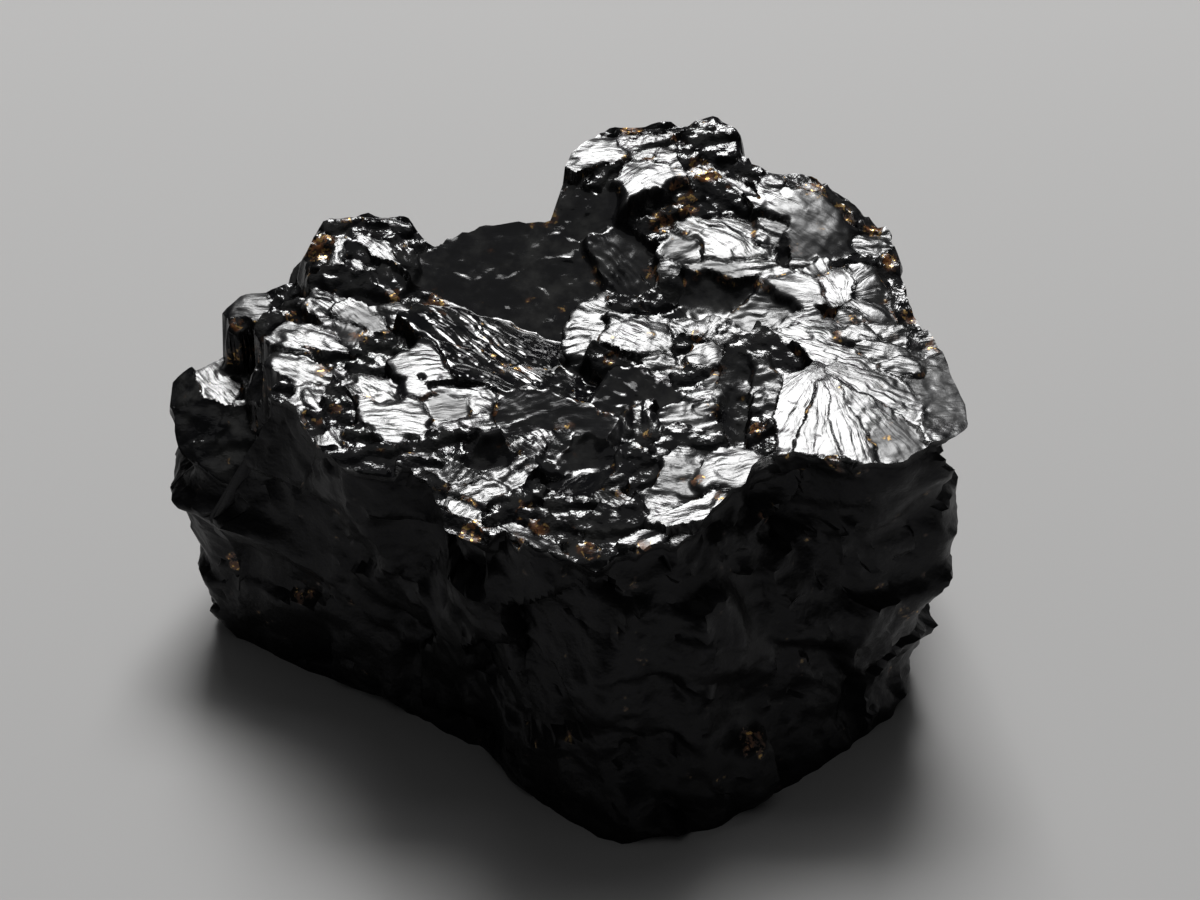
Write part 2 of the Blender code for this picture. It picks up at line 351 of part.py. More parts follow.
def ribs(facet, x, y):
    """The facet's ribs: long slopes with short steep sides, spreading from its apex."""
    dx, dy = x - facet.apex[0], y - facet.apex[1]
    distance = np.hypot(dx, dy)
    middle_x, middle_y = facet.x - facet.apex[0], facet.y - facet.apex[1]
    reach = math.hypot(middle_x, middle_y)
    angle = np.arctan2(dy * middle_x - dx * middle_y, dx * middle_x + dy * middle_y)
    sway = 0.35 * noise(distance / 2.5, angle * 6, facet.x + 0 * x, 5)
    phase = angle * reach / facet.pitch + sway
    tooth = phase - np.floor(phase)
    ridge = np.minimum(tooth / 0.72, (1 - tooth) / 0.28) - 0.5
    uneven = 0.65 + 0.35 * noise(np.floor(phase), facet.x + 0 * x, 0.3 * distance, 6)
    return facet.rib * ridge * uneven * np.clip(distance / reach, 0, 1.2)


def top_height(x, y):
    """The height of the top at each x, y."""
    flat = 0 * x
    wander_x = x + FACET_WANDER * noise(x / 1.6, y / 1.6, flat, 11) + 0.15 * noise(x / 0.5, y / 0.5, flat, 12)
    wander_y = y + FACET_WANDER * noise(x / 1.6, y / 1.6, flat, 13) + 0.15 * noise(x / 0.5, y / 0.5, flat, 14)
    apart = []
    for facet in FACETS:
        turn = math.radians(facet.turn)
        dx, dy = wander_x - facet.x, wander_y - facet.y
        along = dx * math.cos(turn) + dy * math.sin(turn)
        across = dy * math.cos(turn) - dx * math.sin(turn)
        apart.append((along / facet.long) ** 2 + (across / facet.short) ** 2)
    nearest = np.min(apart, axis=0)
    coarse = chips(x, y, flat, 1.5, 21)
    fine = chips(x, y, flat, 0.7, 31)
    total = np.zeros_like(x)
    weight = np.zeros_like(x)
    for facet, distance in zip(FACETS, apart):
        share = np.exp(-FACET_SHARPNESS * np.minimum(distance - nearest, 3))
        height = facet.z + math.tan(math.radians(facet.toward)) * (y - facet.y)
        height = height - math.tan(math.radians(facet.right)) * (x - facet.x)
        height = height + facet.dome * (1 - np.minimum(distance, 2))
        height = height + facet.rough * (coarse + fine)
        if facet.apex:
            height = height + ribs(facet, x, y)
        total += share * height
        weight += share
    return total / weight


def reach(outline, angles):
    """How far the outline is from the hub at each of these angles."""
    points = np.array(outline) - HUB
    ends = np.roll(points, -1, axis=0)
    start = np.arctan2(points[:, 1], points[:, 0])
    turn = np.mod(np.arctan2(ends[:, 1], ends[:, 0]) - start, math.tau)
    result = np.zeros_like(angles)
    for (x, y), (end_x, end_y), first, span in zip(points, ends, start, turn):
        here = np.mod(angles - first, math.tau) <= span
        side = x * end_y - y * end_x
        facing = np.cos(angles) * (end_y - y) - np.sin(angles) * (end_x - x)
        result[here] = (side / facing)[here]
    return result


def rim_angles(spacing):
    """Angles round the hub at which points on the rim are evenly spaced."""
    angles = np.linspace(0, math.tau, 4001)
    far = reach(RIM, angles)
    x, y = far * np.cos(angles), far * np.sin(angles)
    run = np.concatenate([[0], np.cumsum(np.hypot(np.diff(x), np.diff(y)))])
    count = round(run[-1] / spacing)
    return np.interp(np.arange(count) * run[-1] / count, run, angles)


def ragged(angles, seed):
    """How far an edge's small bites and teeth stand in from its outline."""
    x, y = 8 * np.cos(angles), 8 * np.sin(angles)
    return 0.3 * noise(x, y, 0 * x, seed) + 0.2 * noise(3 * x, 3 * y, 0 * x, seed + 1) - 0.2


def side_points(angles, spacing):
    """Rows of points down the sides, from the rim to the base."""
    rim = reach(RIM, angles) + ragged(angles, 41)
    steady = rim.copy()
    for _ in range(round((RIM_BLUR / spacing) ** 2)):
        steady = (np.roll(steady, 1) + 2 * steady + np.roll(steady, -1)) / 4
    belt = reach(BELT, angles)
    base = reach(BASE, angles) + ragged(angles, 45)
    turned_x, turned_y = np.cos(angles), np.sin(angles)
    rim_z = top_height(HUB[0] + rim * turned_x, HUB[1] + rim * turned_y)
    belt_z = BELT_Z + 1.6 * noise(2.5 * turned_x, 2.5 * turned_y, 0 * angles, 43)
    rows = []
    for share in np.linspace(1, 0, round(SIDE_HEIGHT / spacing) + 1):
        z = rim_z * share
        upper = np.clip((z - belt_z) / (rim_z - belt_z), 0, 1)
        lower = np.clip(z / belt_z, 0, 1)
        far = base + (belt - base) * lower + (steady - belt) * upper
        far = far + (rim - steady) * np.exp((z - rim_z) / RIM_REACH)
        x, y = HUB[0] + far * turned_x, HUB[1] + far * turned_y
        relief = 0.22 * chips(x, y, z, 5.5, 51) + 0.15 * chips(x, y, z, 2.2, 61)
        relief = relief + 0.12 * chips(x, y, z, 1.0, 71) - SIDE_SINK
        for scar in SCARS:
            aside = np.mod(angles - math.radians(scar.angle) + math.pi, math.tau) - math.pi
            aside = aside * far
            turn = math.radians(scar.turn)
            along = aside * math.cos(turn) + (z - scar.z) * math.sin(turn)
            across = (z - scar.z) * math.cos(turn) - aside * math.sin(turn)
            distance = (along / scar.wide) ** 2 + (across / scar.high) ** 2
            relief = relief - scar.depth * np.clip(1 - distance, 0, 1)
        fade = np.clip((rim_z - z) / 1.2, 0, 1) * np.clip(z / 0.9, 0, 1)
        far = far + relief * fade
        rows.append(np.stack([HUB[0] + far * turned_x, HUB[1] + far * turned_y, z], axis=1))
    return rows


def base_height(x, y):
    """The height of the underside: flat where it rests, with shallow flakes lost towards its edge."""
    flat = 0 * x
    away = np.hypot(x - MIDDLE[0], y - MIDDLE[1]) - REST_RADIUS
    flake = noise(x / 5, y / 5, flat, 81) + 0.5 * chips(x, y, flat, 2.5, 91)
    return FLAKE_DEPTH * np.clip(flake, 0, 1) * np.clip(away / 3, 0, 1)


def filled(ring, spacing):
    """Points on an even grid inside the ring, and triangles that join them with it."""
    angles = np.arctan2(ring[:, 1] - HUB[1], ring[:, 0] - HUB[0])
    far = np.hypot(ring[:, 0] - HUB[0], ring[:, 1] - HUB[1])
    rows = np.arange(ring[:, 1].min(), ring[:, 1].max(), spacing * math.sqrt(0.75))
    columns = np.arange(ring[:, 0].min(), ring[:, 0].max(), spacing)
    x, y = np.meshgrid(columns, rows)
    x[1::2] += spacing / 2
    x, y = x.ravel(), y.ravel()
    limit = np.interp(np.arctan2(y - HUB[1], x - HUB[0]), angles[np.argsort(angles)], far[np.argsort(angles)],
                      period=math.tau)
    inside = np.hypot(x - HUB[0], y - HUB[1]) < limit - 0.6 * spacing
    inner = np.stack([x[inside], y[inside]], axis=1)
    points = [tuple(point) for point in np.concatenate([ring[:, :2], inner])]
    made = delaunay_2d_cdt(points, [], [list(range(len(ring)))], 1, 1e-7)
    return inner, [tuple(face) for face in made[2]]


def stone_mesh(name, top_spacing, side_spacing, base_spacing):
    """The closed mesh: the top and the underside as filled outlines, and the sides as a loft between them."""
    angles = rim_angles(side_spacing)
    count = len(angles)
    rows = side_points(angles, side_spacing)
    row_count = len(rows) - 1
    points = np.concatenate(rows)
    faces = []
    for row in range(row_count):
        for column in range(count):
            after = (column + 1) % count
            upper, lower = row * count, (row + 1) * count
            faces.append((upper + column, lower + column, lower + after))
            faces.append((upper + column, lower + after, upper + after))
    inner, top_faces = filled(rows[0], top_spacing)
    first_inner = len(points)
    number = list(range(count)) + list(range(first_inner, first_inner + len(inner)))
    faces += [tuple(number[corner] for corner in face) for face in top_faces]
    height = top_height(inner[:, 0], inner[:, 1])
    points = np.concatenate([points, np.column_stack([inner, height])])
    inner, base_faces = filled(rows[-1], base_spacing)
    first_inner = len(points)
    number = list(range(row_count * count, (row_count + 1) * count))
    number += range(first_inner, first_inner + len(inner))
    faces += [tuple(number[corner] for corner in reversed(face)) for face in base_faces]
    height = base_height(inner[:, 0], inner[:, 1])
    points = np.concatenate([points, np.column_stack([inner, height])])
    points -= (MIDDLE[0], MIDDLE[1], 0)
    mesh = bpy.data.meshes.new(name)
    mesh.from_pydata(points * MM, [], faces)
    return mesh


def stone_material():
    material = bpy.data.materials.new("black shungite")
    material.use_nodes = True
    surface = material.node_tree.nodes["Principled BSDF"]
    surface.inputs["Base Color"].default_value = (0.012, 0.012, 0.013, 1)
    surface.inputs["Metallic"].default_value = 0.0
    surface.inputs["Roughness"].default_value = 0.2
    return material


def thinned(mesh, name):
    """The mesh with no more triangles than its shape needs, cut level with the surface that it stands on."""
    rough = bpy.data.objects.new("full stone", mesh)
    bpy.context.scene.collection.objects.link(rough)
    thin = rough.modifiers.new("Decimate", "DECIMATE")
    thin.ratio = MOST_TRIANGLES / len(mesh.polygons)
    thin.use_collapse_triangulate = True
    graph = bpy.context.evaluated_depsgraph_get()
    result = bpy.data.meshes.new_from_object(rough.evaluated_get(graph))
    result.name = name
    bpy.data.objects.remove(rough)
    for vertex in result.vertices:
        vertex.co.z = max(vertex.co.z, 0.0)
    return result


def main():
    for thing in list(bpy.data.objects):
        bpy.data.objects.remove(thing)
    group = bpy.data.collections.new(NAME)
    bpy.context.scene.collection.children.link(group)
    mesh = thinned(stone_mesh("full", TOP_SPACING, SIDE_SPACING, BASE_SPACING), NAME)
    mesh.materials.append(stone_material())
    group.objects.link(bpy.data.objects.new(NAME, mesh))


main()
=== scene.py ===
"""The looks of elite shungite: the stone's fine fracture relief, its black glassy surface and the studio.

The stone's main shape is the solid's own, worked out from the same outlines and facets, and finer ribs,
chips and pits are cut into it. Its lengths are in mm until the mesh is made.
"""

import math
from collections import namedtuple

import bpy
import numpy as np
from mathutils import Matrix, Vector
from mathutils.geometry import delaunay_2d_cdt

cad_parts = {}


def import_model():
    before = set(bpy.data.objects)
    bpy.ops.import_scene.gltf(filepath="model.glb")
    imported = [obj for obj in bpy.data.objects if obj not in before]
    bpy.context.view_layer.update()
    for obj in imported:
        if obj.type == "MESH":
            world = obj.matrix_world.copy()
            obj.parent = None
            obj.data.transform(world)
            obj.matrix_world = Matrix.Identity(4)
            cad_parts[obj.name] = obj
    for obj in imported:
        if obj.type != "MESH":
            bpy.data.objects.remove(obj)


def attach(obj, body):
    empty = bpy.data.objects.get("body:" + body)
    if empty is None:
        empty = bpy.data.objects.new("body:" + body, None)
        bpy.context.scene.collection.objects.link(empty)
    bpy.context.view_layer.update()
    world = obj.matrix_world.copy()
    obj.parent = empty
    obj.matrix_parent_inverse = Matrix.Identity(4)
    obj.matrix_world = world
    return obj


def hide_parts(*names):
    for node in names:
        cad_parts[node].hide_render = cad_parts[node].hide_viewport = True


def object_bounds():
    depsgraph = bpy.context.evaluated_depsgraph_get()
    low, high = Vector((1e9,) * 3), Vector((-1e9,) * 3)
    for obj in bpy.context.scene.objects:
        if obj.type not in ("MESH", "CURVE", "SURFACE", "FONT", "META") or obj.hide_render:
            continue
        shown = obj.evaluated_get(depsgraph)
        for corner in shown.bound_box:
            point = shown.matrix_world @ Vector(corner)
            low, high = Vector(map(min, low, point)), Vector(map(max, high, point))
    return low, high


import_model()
cad_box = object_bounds()

MM = 0.001
NODE = "shungite"

# The middle of the lump's bounding box, which becomes the origin.
MIDDLE = (-2.64, -2.71)
# The point that the three outlines are measured around.
HUB = (-1.0, -3.0)

# The edge between the top and the sides, from the left end round by the front.
RIM = (
    (-27.2, 0.4), (-26, -2.6), (-23.4, -4.4), (-20.2, -5.2), (-18.8, -6), (-17.9, -7.2),
    (-17.2, -8.6), (-16.6, -10.3), (-14.9, -11.7), (-12.6, -12), (-11, -12.1), (-10, -14.2),
    (-8.3, -16.8), (-6.7, -17.7), (-5.5, -17), (-3.6, -18.8), (-0.3, -19.5), (1.9, -18.7),
    (4.3, -18.1), (6.4, -16.6), (8.9, -13.2), (9.8, -12), (12.6, -12.5), (14.7, -13.2), (17.4, -12.4),
    (19, -11.3), (20.7, -10.6), (21.7, -9.4), (21.8, -7.6), (21.2, -4.6), (20.2, -1.4), (19.1, 1.9),
    (18.7, 4.7), (18.4, 8.1), (17.2, 9.9), (15.7, 11.5), (14, 12.3), (11.5, 12.2), (9.8, 12.9),
    (9.1, 14.8), (7.7, 16.1), (5.3, 15.3), (3.2, 15.4), (0.4, 14.8), (-1.8, 12.7), (-2.4, 11.2),
    (-3.2, 8.9), (-8.2, 7.9), (-10.9, 7.8), (-12.6, 9.4), (-15, 9.9), (-17.2, 8.6), (-18.4, 6.6),
    (-20.6, 6.3), (-22.6, 5.9), (-23.9, 4.4), (-25.2, 3.2), (-26.9, 2.2),
)
# The belt where the upper and the lower sides meet.
BELT = (
    (-27.1, 0.4), (-26.3, -4.1), (-20.5, -7.6), (-14, -11.6), (-9.8, -14), (-6.4, -16.9), (-3, -19.4),
    (0.2, -21), (5.6, -19.9), (10.4, -15.9), (14.6, -14), (18, -12.4), (20.4, -10.8), (21, -8.6),
    (20.6, -3), (20.4, 2), (19.8, 7.4), (17.6, 12.2), (12.4, 15.4), (6, 17), (0, 15.8),
    (-5, 11.8), (-11.6, 11.9), (-17.6, 10.6), (-22.8, 7.8), (-25.6, 4.4),
)
BELT_Z = 10.8
# How far the sides as a whole stand in from these outlines.
SIDE_SINK = 0.3
# The rim's teeth narrower than RIM_BLUR fade out within about RIM_REACH below it.
RIM_BLUR = 1.8
RIM_REACH = 1.6
# The usual height of the sides.
SIDE_HEIGHT = 21.0
# The edge of the side that it stands on.
BASE = (
    (-24.3, -0.5), (-23.9, -4.5), (-19.6, -7), (-12.8, -10.9), (-7.6, -14.6), (-3.4, -19.4), (0, -22.2),
    (3, -22.1), (6.5, -21.3), (12, -17.6), (16.6, -13.4), (18.6, -11.3), (19.2, -8), (19, -1),
    (18.2, 6.4), (15, 11.8), (9, 14.6), (1.5, 15), (-4, 11.4), (-10.5, 9.6), (-16.5, 9.4),
    (-21, 6),
)

# One facet of the top. Its middle is at x, y, z, and it fills about an ellipse of these half sizes,
# the long one turned by turn degrees from +X. toward and right are its lean in degrees towards -Y
# and +X. dome is how far its middle stands above its edge, and rough is how high its chips are.
# Ribs spread from the point apex, pitch apart at the middle of the facet and rib high. Each fills
# this share of its pitch: those that fill it all lean as a saw's teeth do, and the others are broken up.
Facet = namedtuple(
    "Facet", "x y z long short turn toward right dome rough apex pitch rib share",
    defaults=(None, 1, 0, 1)
)
# The points that the ribs of the two fans spread from.
FAN = (12.9, -5)
SMALL_FAN = (14.6, 1.9)
FACETS = [Facet(*row) for row in (
    # The two low steps at the left end.
    (-23.5, 1.9, 15.9, 1.9, 1.2, -50, 8, 0, 0.06, 0.04, (-30.3, 9.4), 0.85, 0.05),
    (-21.7, 1.8, 15.6, 1, 1.5, 0, 26, 6, 0, 0.2),
    (-21.6, 0.3, 15.5, 0.9, 0.7, -20, 9, 2, 0.1, 0.12),
    (-23.2, -2.6, 14.5, 3.4, 1.7, -10, 40, -8, 0, 0.15),
    (-26, 1.6, 15.9, 0.9, 1.4, 0, 20, -24, 0, 0.15),
    (-20.8, -1, 18.2, 0.55, 1.7, 12, 30, -28, 0, 0.3),
    (-20.5, -3.9, 17, 0.9, 0.7, 0, 34, -20, 0, 0.3),
    (-21.8, 4.8, 19.6, 1.2, 1.3, 0, 11, -1, 0.2, 0.06),
    (-20.8, 3.5, 19.6, 0.7, 0.7, 0, 10, 0, 0.1, 0.08),
    (-22.6, 3.2, 19.3, 1.2, 0.7, 10, 26, -16, 0, 0.2),
    (-19.7, 5.2, 19.8, 1, 1.6, 0, 24, -12, 0, 0.3),
    # The ridged lump at the back left.
    (-17.7, 6.4, 22.7, 0.8, 1.5, -15, 24, -20, 0.2, 0.3),
    (-16.3, 6, 23, 1.2, 0.5, 75, 10, -4, 0.1, 0.12),
    (-15.1, 5.9, 22.9, 1.2, 0.4, -50, 27, 0, 0, 0.12),
    (-15.6, 8, 23.5, 2.2, 0.8, -10, 24, -4, 0.1, 0.2),
    (-13.8, 5.9, 23.1, 2.6, 0.55, -46, 9, 3, 0.06, 0.06, (-25, 17), 0.4, 0.05),
    (-15.3, 4.9, 22.5, 0.6, 0.5, -60, 11, 0, 0.1, 0.12),
    (-14.1, 4.9, 22.4, 0.6, 0.4, 0, 14, 2, 0, 0.1, (-25, 8), 0.3, 0.1, 0.6),
    (-12.8, 3.9, 22.1, 1.7, 0.8, -50, 24, 8, 0, 0.08, (-22, 15), 0.5, 0.14, 0.45),
    (-12.6, 8.4, 23.2, 0.9, 0.35, -25, 9, 2, 0.1, 0.15),
    (-12, 7, 22.9, 0.4, 0.35, 0, 9, 2, 0.1, 0.05),
    (-12.2, 5.8, 22.6, 1.4, 1, -45, 26, 10, 0.1, 0.1, (-25, 18), 0.7, 0.12, 0.4),
    (-15.2, 3.5, 22, 2.6, 0.5, -20, 38, -4, 0, 0.15),
    (-12.5, 2.8, 21.9, 0.6, 0.35, -30, 9, 2, 0.1, 0.1),
    (-15.8, 9.4, 23.1, 3.2, 0.9, 0, -22, -4, 0, 0.25),
    (-10.9, 7.6, 22.4, 1.2, 0.9, 10, 24, 10, 0, 0.25),
    # The bright stepped facets down the left edge.
    (-16.8, 2.3, 21.9, 1.2, 0.8, -35, 9, -1, 0.1, 0.08, (-30, 12), 0.6, 0.08),
    (-14.9, 0.9, 21.8, 1.6, 0.7, -40, 14, 4, 0, 0.06, (-24, 9), 0.4, 0.1, 0.6),
    (-15.5, -0.2, 21.4, 1.5, 0.6, -25, 14, 2, 0.15, 0.08, (-16.6, -5), 0.4, 0.12, 0.6),
    (-18.5, 1.4, 20.9, 1.7, 0.4, -30, 34, -8, -0.1, 0.2),
    (-20.3, 0.9, 20.8, 0.8, 1, 0, 30, -10, 0, 0.2),
    (-19.3, 3.2, 21, 0.9, 0.8, -30, 22, -6, 0, 0.3),
    (-17.8, -0.9, 21.4, 1.9, 1.2, -25, 8, -1, 0.06, 0.05, (-30, 5), 0.8, 0.04),
    (-17.2, -2, 21, 1.6, 0.22, -30, 30, 0, 0, 0.1),
    (-18.6, -2.8, 21, 2.3, 0.9, -22, 8, -1, 0.06, 0.06, (-30, 4), 0.6, 0.04),
    (-15.9, -2.3, 21.1, 0.9, 0.5, -25, 26, 3, 0, 0.3),
    (-17.5, -5.9, 20.7, 1.4, 0.9, -70, 8, -1, 0.06, 0.08, (-24, 8), 0.7, 0.05),
    (-16.6, -7.5, 20.5, 1.1, 0.6, -60, 26, -4, 0, 0.15),
    (-19, -4.6, 20.7, 1, 0.6, -30, 28, -6, 0, 0.2),
    (-15.4, -3.7, 20.9, 0.35, 0.8, 10, 9, 2, 0.1, 0.08),
    (-15.4, -7, 20.6, 1.5, 0.8, -45, 25, 8, 0, 0.2),
    (-13.8, -3.6, 20.9, 1.4, 0.7, -20, 26, 4, 0, 0.2),
    (-12.3, 1.4, 21.9, 0.8, 0.7, -20, 8, 2, 0.15, 0.1),
    (-13.4, -1.1, 21.1, 1.6, 0.9, -25, 25, 6, -0.1, 0.25),
    # The rusty hollow between the lump and the long ribs.
    (-10.6, 2.6, 21.2, 1.6, 1, -15, 26, 6, -0.2, 0.25),
    # The disc and the bright plates in front of it.
    (-10.8, -4.2, 21.85, 1.45, 1.8, 0, 8, 0, 0.08, 0.015, (-24, -4), 0.4, 0.03),
    (-13.2, -5.4, 21.3, 1.7, 1, -35, 8, 0, 0.06, 0.08, (-24, 3), 0.7, 0.06),
    (-11.4, -8.5, 21.3, 2.6, 1.6, -25, 8, 1, 0.08, 0.04, (-20, -8), 0.8, 0.04),
    (-14.2, -9.4, 20.8, 1, 0.9, -30, 24, -4, 0, 0.2),
    (-8.6, -7, 21.2, 1.5, 0.9, 8, 14, 2, 0, 0.03),
    (-7.2, -6.9, 21.2, 0.9, 1, -30, 8, 4, 0.1, 0.06),
    (-8.4, -8.4, 21.1, 2, 0.8, 12, 8, 1, 0.1, 0.08, (-20, -11), 0.5, 0.05),
    (-8.6, -5.6, 21.3, 2, 0.3, -4, 10, 2, 0.1, 0.05),
    (-15.1, -9.5, 20.6, 1.3, 0.8, -70, 8, 0, 0, 0.08),
    (-13.9, -11.1, 20.7, 1.6, 0.9, 0, 30, 6, 0, 0.15),
    # The broken facets above the front left side.
    (-9.4, -10.3, 21, 1.8, 0.9, 0, 25, -6, 0, 0.25),
    (-10.2, -11.7, 20.9, 1.2, 0.6, -10, 12, -2, 0.1, 0.3),
    (-8.3, -12.6, 20.7, 1.5, 0.8, -35, 14, -2, 0, 0.15, (-14, -19), 0.5, 0.2, 0.6),
    (-6.9, -14, 20.6, 1.6, 1, 20, 8, 0, 0.08, 0.1),
    (-5.6, -12.8, 20.7, 1.3, 0.8, 35, 9, 2, 0.08, 0.1),
    (-4.6, -11.5, 20.7, 0.8, 0.5, 20, 10, 0, 0.1, 0.15),
    (-9.9, -13.4, 20.5, 0.9, 0.8, -30, 26, -8, 0, 0.15),
    (-7.8, -15.1, 20.3, 1.2, 0.6, -10, 9, -1, 0, 0.08, (-12, -21), 0.4, 0.05, 0.6),
    (-5, -14.9, 20.3, 1.4, 0.9, 10, 32, 0, 0, 0.2),
    (-6.4, -11, 20.7, 1.5, 0.9, 10, 22, 0, -0.45, 0.05),
    (-7.8, -16.4, 20, 1.5, 0.8, -35, 26, -8, 0.1, 0.2),
    # The dark ground of the long ribs, and the smooth valley that they reach.
    (-8.8, 0.4, 21.7, 2.6, 1.9, -38, -4, 18, 0, 0.02),
    (-5.2, -0.6, 20.7, 2.8, 2, -38, -4, 17, 0, 0.02),
    (-6.4, -3.4, 21.2, 3, 1.3, -16, -4, 18, 0, 0.02),
    (-2.2, -3.6, 20.1, 2.9, 1.9, -15, -4, 15, 0, 0.02),
    (1.4, -5, 20.7, 2.6, 1.7, 0, 24, -6, 0, 0.02, (-3.2, -2.6), 0.3, 0.03, 0.5),
    (-2.8, -7.2, 20.5, 3.2, 1.4, -5, 22, 5, 0, 0.02, (-9, -8.4), 0.3, 0.03, 0.5),
    # The dark slope below the back edge.
    (-5.6, 5.8, 22.1, 5.4, 3.2, -8, 26, 0, 0, 0.03),
    # The crescent and the oval lump behind the valley.
    (-1, 0.4, 21.1, 3, 0.9, 72, 8, 0, 0.06, 0.06, (4, 0.4), 0.6, 0.05),
    (2.3, -0.8, 21.7, 2.2, 1.4, -22, 8, 0, 0.1, 0.07, (-6, 4), 0.6, 0.04),
    (1.1, 1.2, 21.7, 1.2, 0.4, -5, 10, 2, 0.1, 0.08),
    (1.6, 2.2, 21.5, 1.6, 0.6, -10, 28, 4, 0, 0.15),
    (3.4, 2.6, 21.4, 1.4, 0.8, 0, 28, 4, 0, 0.25),
    (0.6, -2.6, 20.8, 1.9, 0.7, -20, 32, 0, 0, 0.25),
    # The ring, the small knobs and the streaks at the right of the valley.
    (5.6, -0.9, 21.3, 0.9, 0.5, 10, 26, 0, -0.2, 0.15),
    (6.5, -2.3, 21.7, 0.8, 1, 10, 8, 0, 0.12, 0.04),
    (6.2, 0.3, 21.6, 1.5, 0.7, 8, 10, -1, 0.1, 0.1, (6, -1.4), 0.45, 0.08, 0.7),
    (7.8, -1, 21.5, 0.7, 1.4, 10, 16, 6, 0, 0.12),
    (4.9, -1.5, 21.4, 0.6, 0.7, -10, 24, 3, 0, 0.2),
    (3.9, -3.1, 21.2, 1.1, 0.7, -10, 9, 1, 0.1, 0.1),
    (3.7, -4.2, 21, 0.7, 0.5, -10, 10, 2, 0.1, 0.1),
    (5.6, -4.1, 21.1, 1.2, 0.8, -5, 24, 0, 0, 0.2),
    (6.9, -4.4, 21.1, 0.6, 0.9, 10, 9, 0, 0.1, 0.05),
    (6.8, -6, 20.9, 1.4, 0.6, 8, 16, 3, 0.1, 0.12, (1, -7), 0.4, 0.14, 0.6),
    (6.6, -6.9, 20.9, 0.9, 0.35, 20, 9, 3, 0.1, 0.06),
    (5.4, -8.2, 20.8, 2.2, 0.9, 0, 21, 5, 0, 0.06, (-2, -9), 0.7, 0.08),
    (8, -5.6, 20.9, 1, 3.6, 0, 26, 10, -0.2, 0.1),
    (9.6, -4.8, 21.5, 0.9, 1.8, -8, 22, -5, 0, 0.12),
    (9.4, -7.6, 21.6, 0.8, 2, -8, 20, -6, 0, 0.12),
    (9.4, -10.3, 21.8, 1, 1.2, 0, 22, -10, 0.1, 0.3),
    # The bulb, the dark pit and the plates above the front right side.
    (2, -9, 21.2, 1.2, 1.6, 0, 18, -4, 0.25, 0.15, (2.2, -11), 0.4, 0.1),
    (-3.9, -9.6, 20.9, 1.3, 0.6, 28, 12, 2, 0.1, 0.1, (-1.6, -13), 0.35, 0.2, 0.6),
    (-2.3, -10, 20.6, 0.8, 1, -20, 22, 4, 0, 0.08, (-4.6, -6), 0.35, 0.12, 0.5),
    (-0.9, -12.8, 20.1, 1.9, 1.2, 0, -3, -16, 0, 0.03),
    (-1, -10.8, 20.4, 1.8, 0.9, 0, 27, 2, -0.2, 0.05),
    (2, -12, 20.9, 1.1, 1.4, 10, 27, -6, 0, 0.15),
    (0.7, -13.1, 20.8, 0.9, 0.6, 10, 14, 0, 0.1, 0.2),
    (0.6, -14.6, 20.6, 0.9, 0.5, -35, 16, 0, 0, 0.2, (-5, -10), 0.45, 0.12, 0.6),
    (4.6, -13.3, 21.2, 1.3, 2.2, -8, 12, 2, 0.1, 0.1),
    (6.6, -13.2, 21.6, 2.2, 1.1, 22, 8, 1, 0.05, 0.04, (-8, -19), 0.9, 0.04),
    (4.8, -10.4, 21.2, 1.8, 1, 0, 24, 4, 0, 0.12),
    (3.6, -11.1, 21.1, 0.8, 0.5, 10, 11, 0, 0.1, 0.12),
    (4.8, -16, 21, 2.2, 0.6, 22, 9, 2, 0, 0.06),
    # The dark rough chin at the front.
    (-1.8, -15.2, 20.5, 1.5, 0.7, -10, 22, -2, 0.1, 0.25),
    (-4.2, -15.6, 20.3, 1.4, 0.6, -30, 25, -2, 0, 0.2),
    (-3.4, -17.7, 20, 1.9, 0.2, -28, 16, -2, 0, 0.08, (-12, -13), 0.3, 0.1, 0.6),
    (-2.4, -16.6, 20.2, 2.4, 0.6, -20, 30, -6, 0, 0.2),
    (0.2, -16.8, 20.3, 1.8, 1.2, 0, 30, 2, 0, 0.15),
    (-0.6, -18.9, 19.7, 2, 0.7, 0, 30, 4, 0, 0.15),
    (1.9, -17.9, 20.4, 1, 0.6, 25, 9, 2, 0, 0.08),
    # The knob at the back.
    (0.1, 12.8, 26, 1.7, 1.1, 4, 8, -1, 0.08, 0.04),
    (4.4, 12, 25.7, 0.8, 1.1, 20, 9, 0, 0.1, 0.08),
    (2.5, 13.3, 26, 1.3, 1, 10, 16, 2, 0, 0.15),
    (2.9, 10, 25.4, 2.3, 1.6, 45, 8, 0, 0.08, 0.05, (-5, 5), 0.9, 0.03),
    (0.2, 11, 25.3, 1.1, 0.8, 20, 26, -10, 0, 0.25),
    (2.6, 15.2, 26.2, 2.6, 0.7, 0, -6, 0, 0, 0.25),
    (5.8, 12.3, 25.3, 1.1, 1.3, 0, 22, 8, 0, 0.3),
    (7.3, 14.2, 25.7, 1.6, 1.5, 0, 27, 4, 0.15, 0.25),
    (8.2, 11.2, 24.7, 1.9, 0.2, -42, 13, 4, 0, 0.06),
    (7.4, 10, 24.3, 1.8, 0.7, -38, 32, 2, 0, 0.2),
    (9.4, 12.2, 24.8, 1, 0.8, -38, 26, 10, 0, 0.2),
    (-0.4, 8.6, 23.7, 1.8, 1.4, 0, 32, -8, 0, 0.06),
    # The ridges, the leaf and the smooth facet between the knob and the right edge.
    (3.4, 8.4, 23.7, 1.6, 0.8, 10, 30, 0, 0, 0.3),
    (0.9, 5.8, 22.5, 1.6, 2.9, 25, 25, 9, 0.1, 0.03, (-7, 12), 0.5, 0.1, 0.5),
    (7.9, 7, 23.4, 2.5, 1.6, -32, 8, 1, 0.1, 0.06, (-6, 17), 0.8, 0.06),
    (6, 9.5, 24.2, 2.4, 0.6, -10, 34, 0, 0, 0.15),
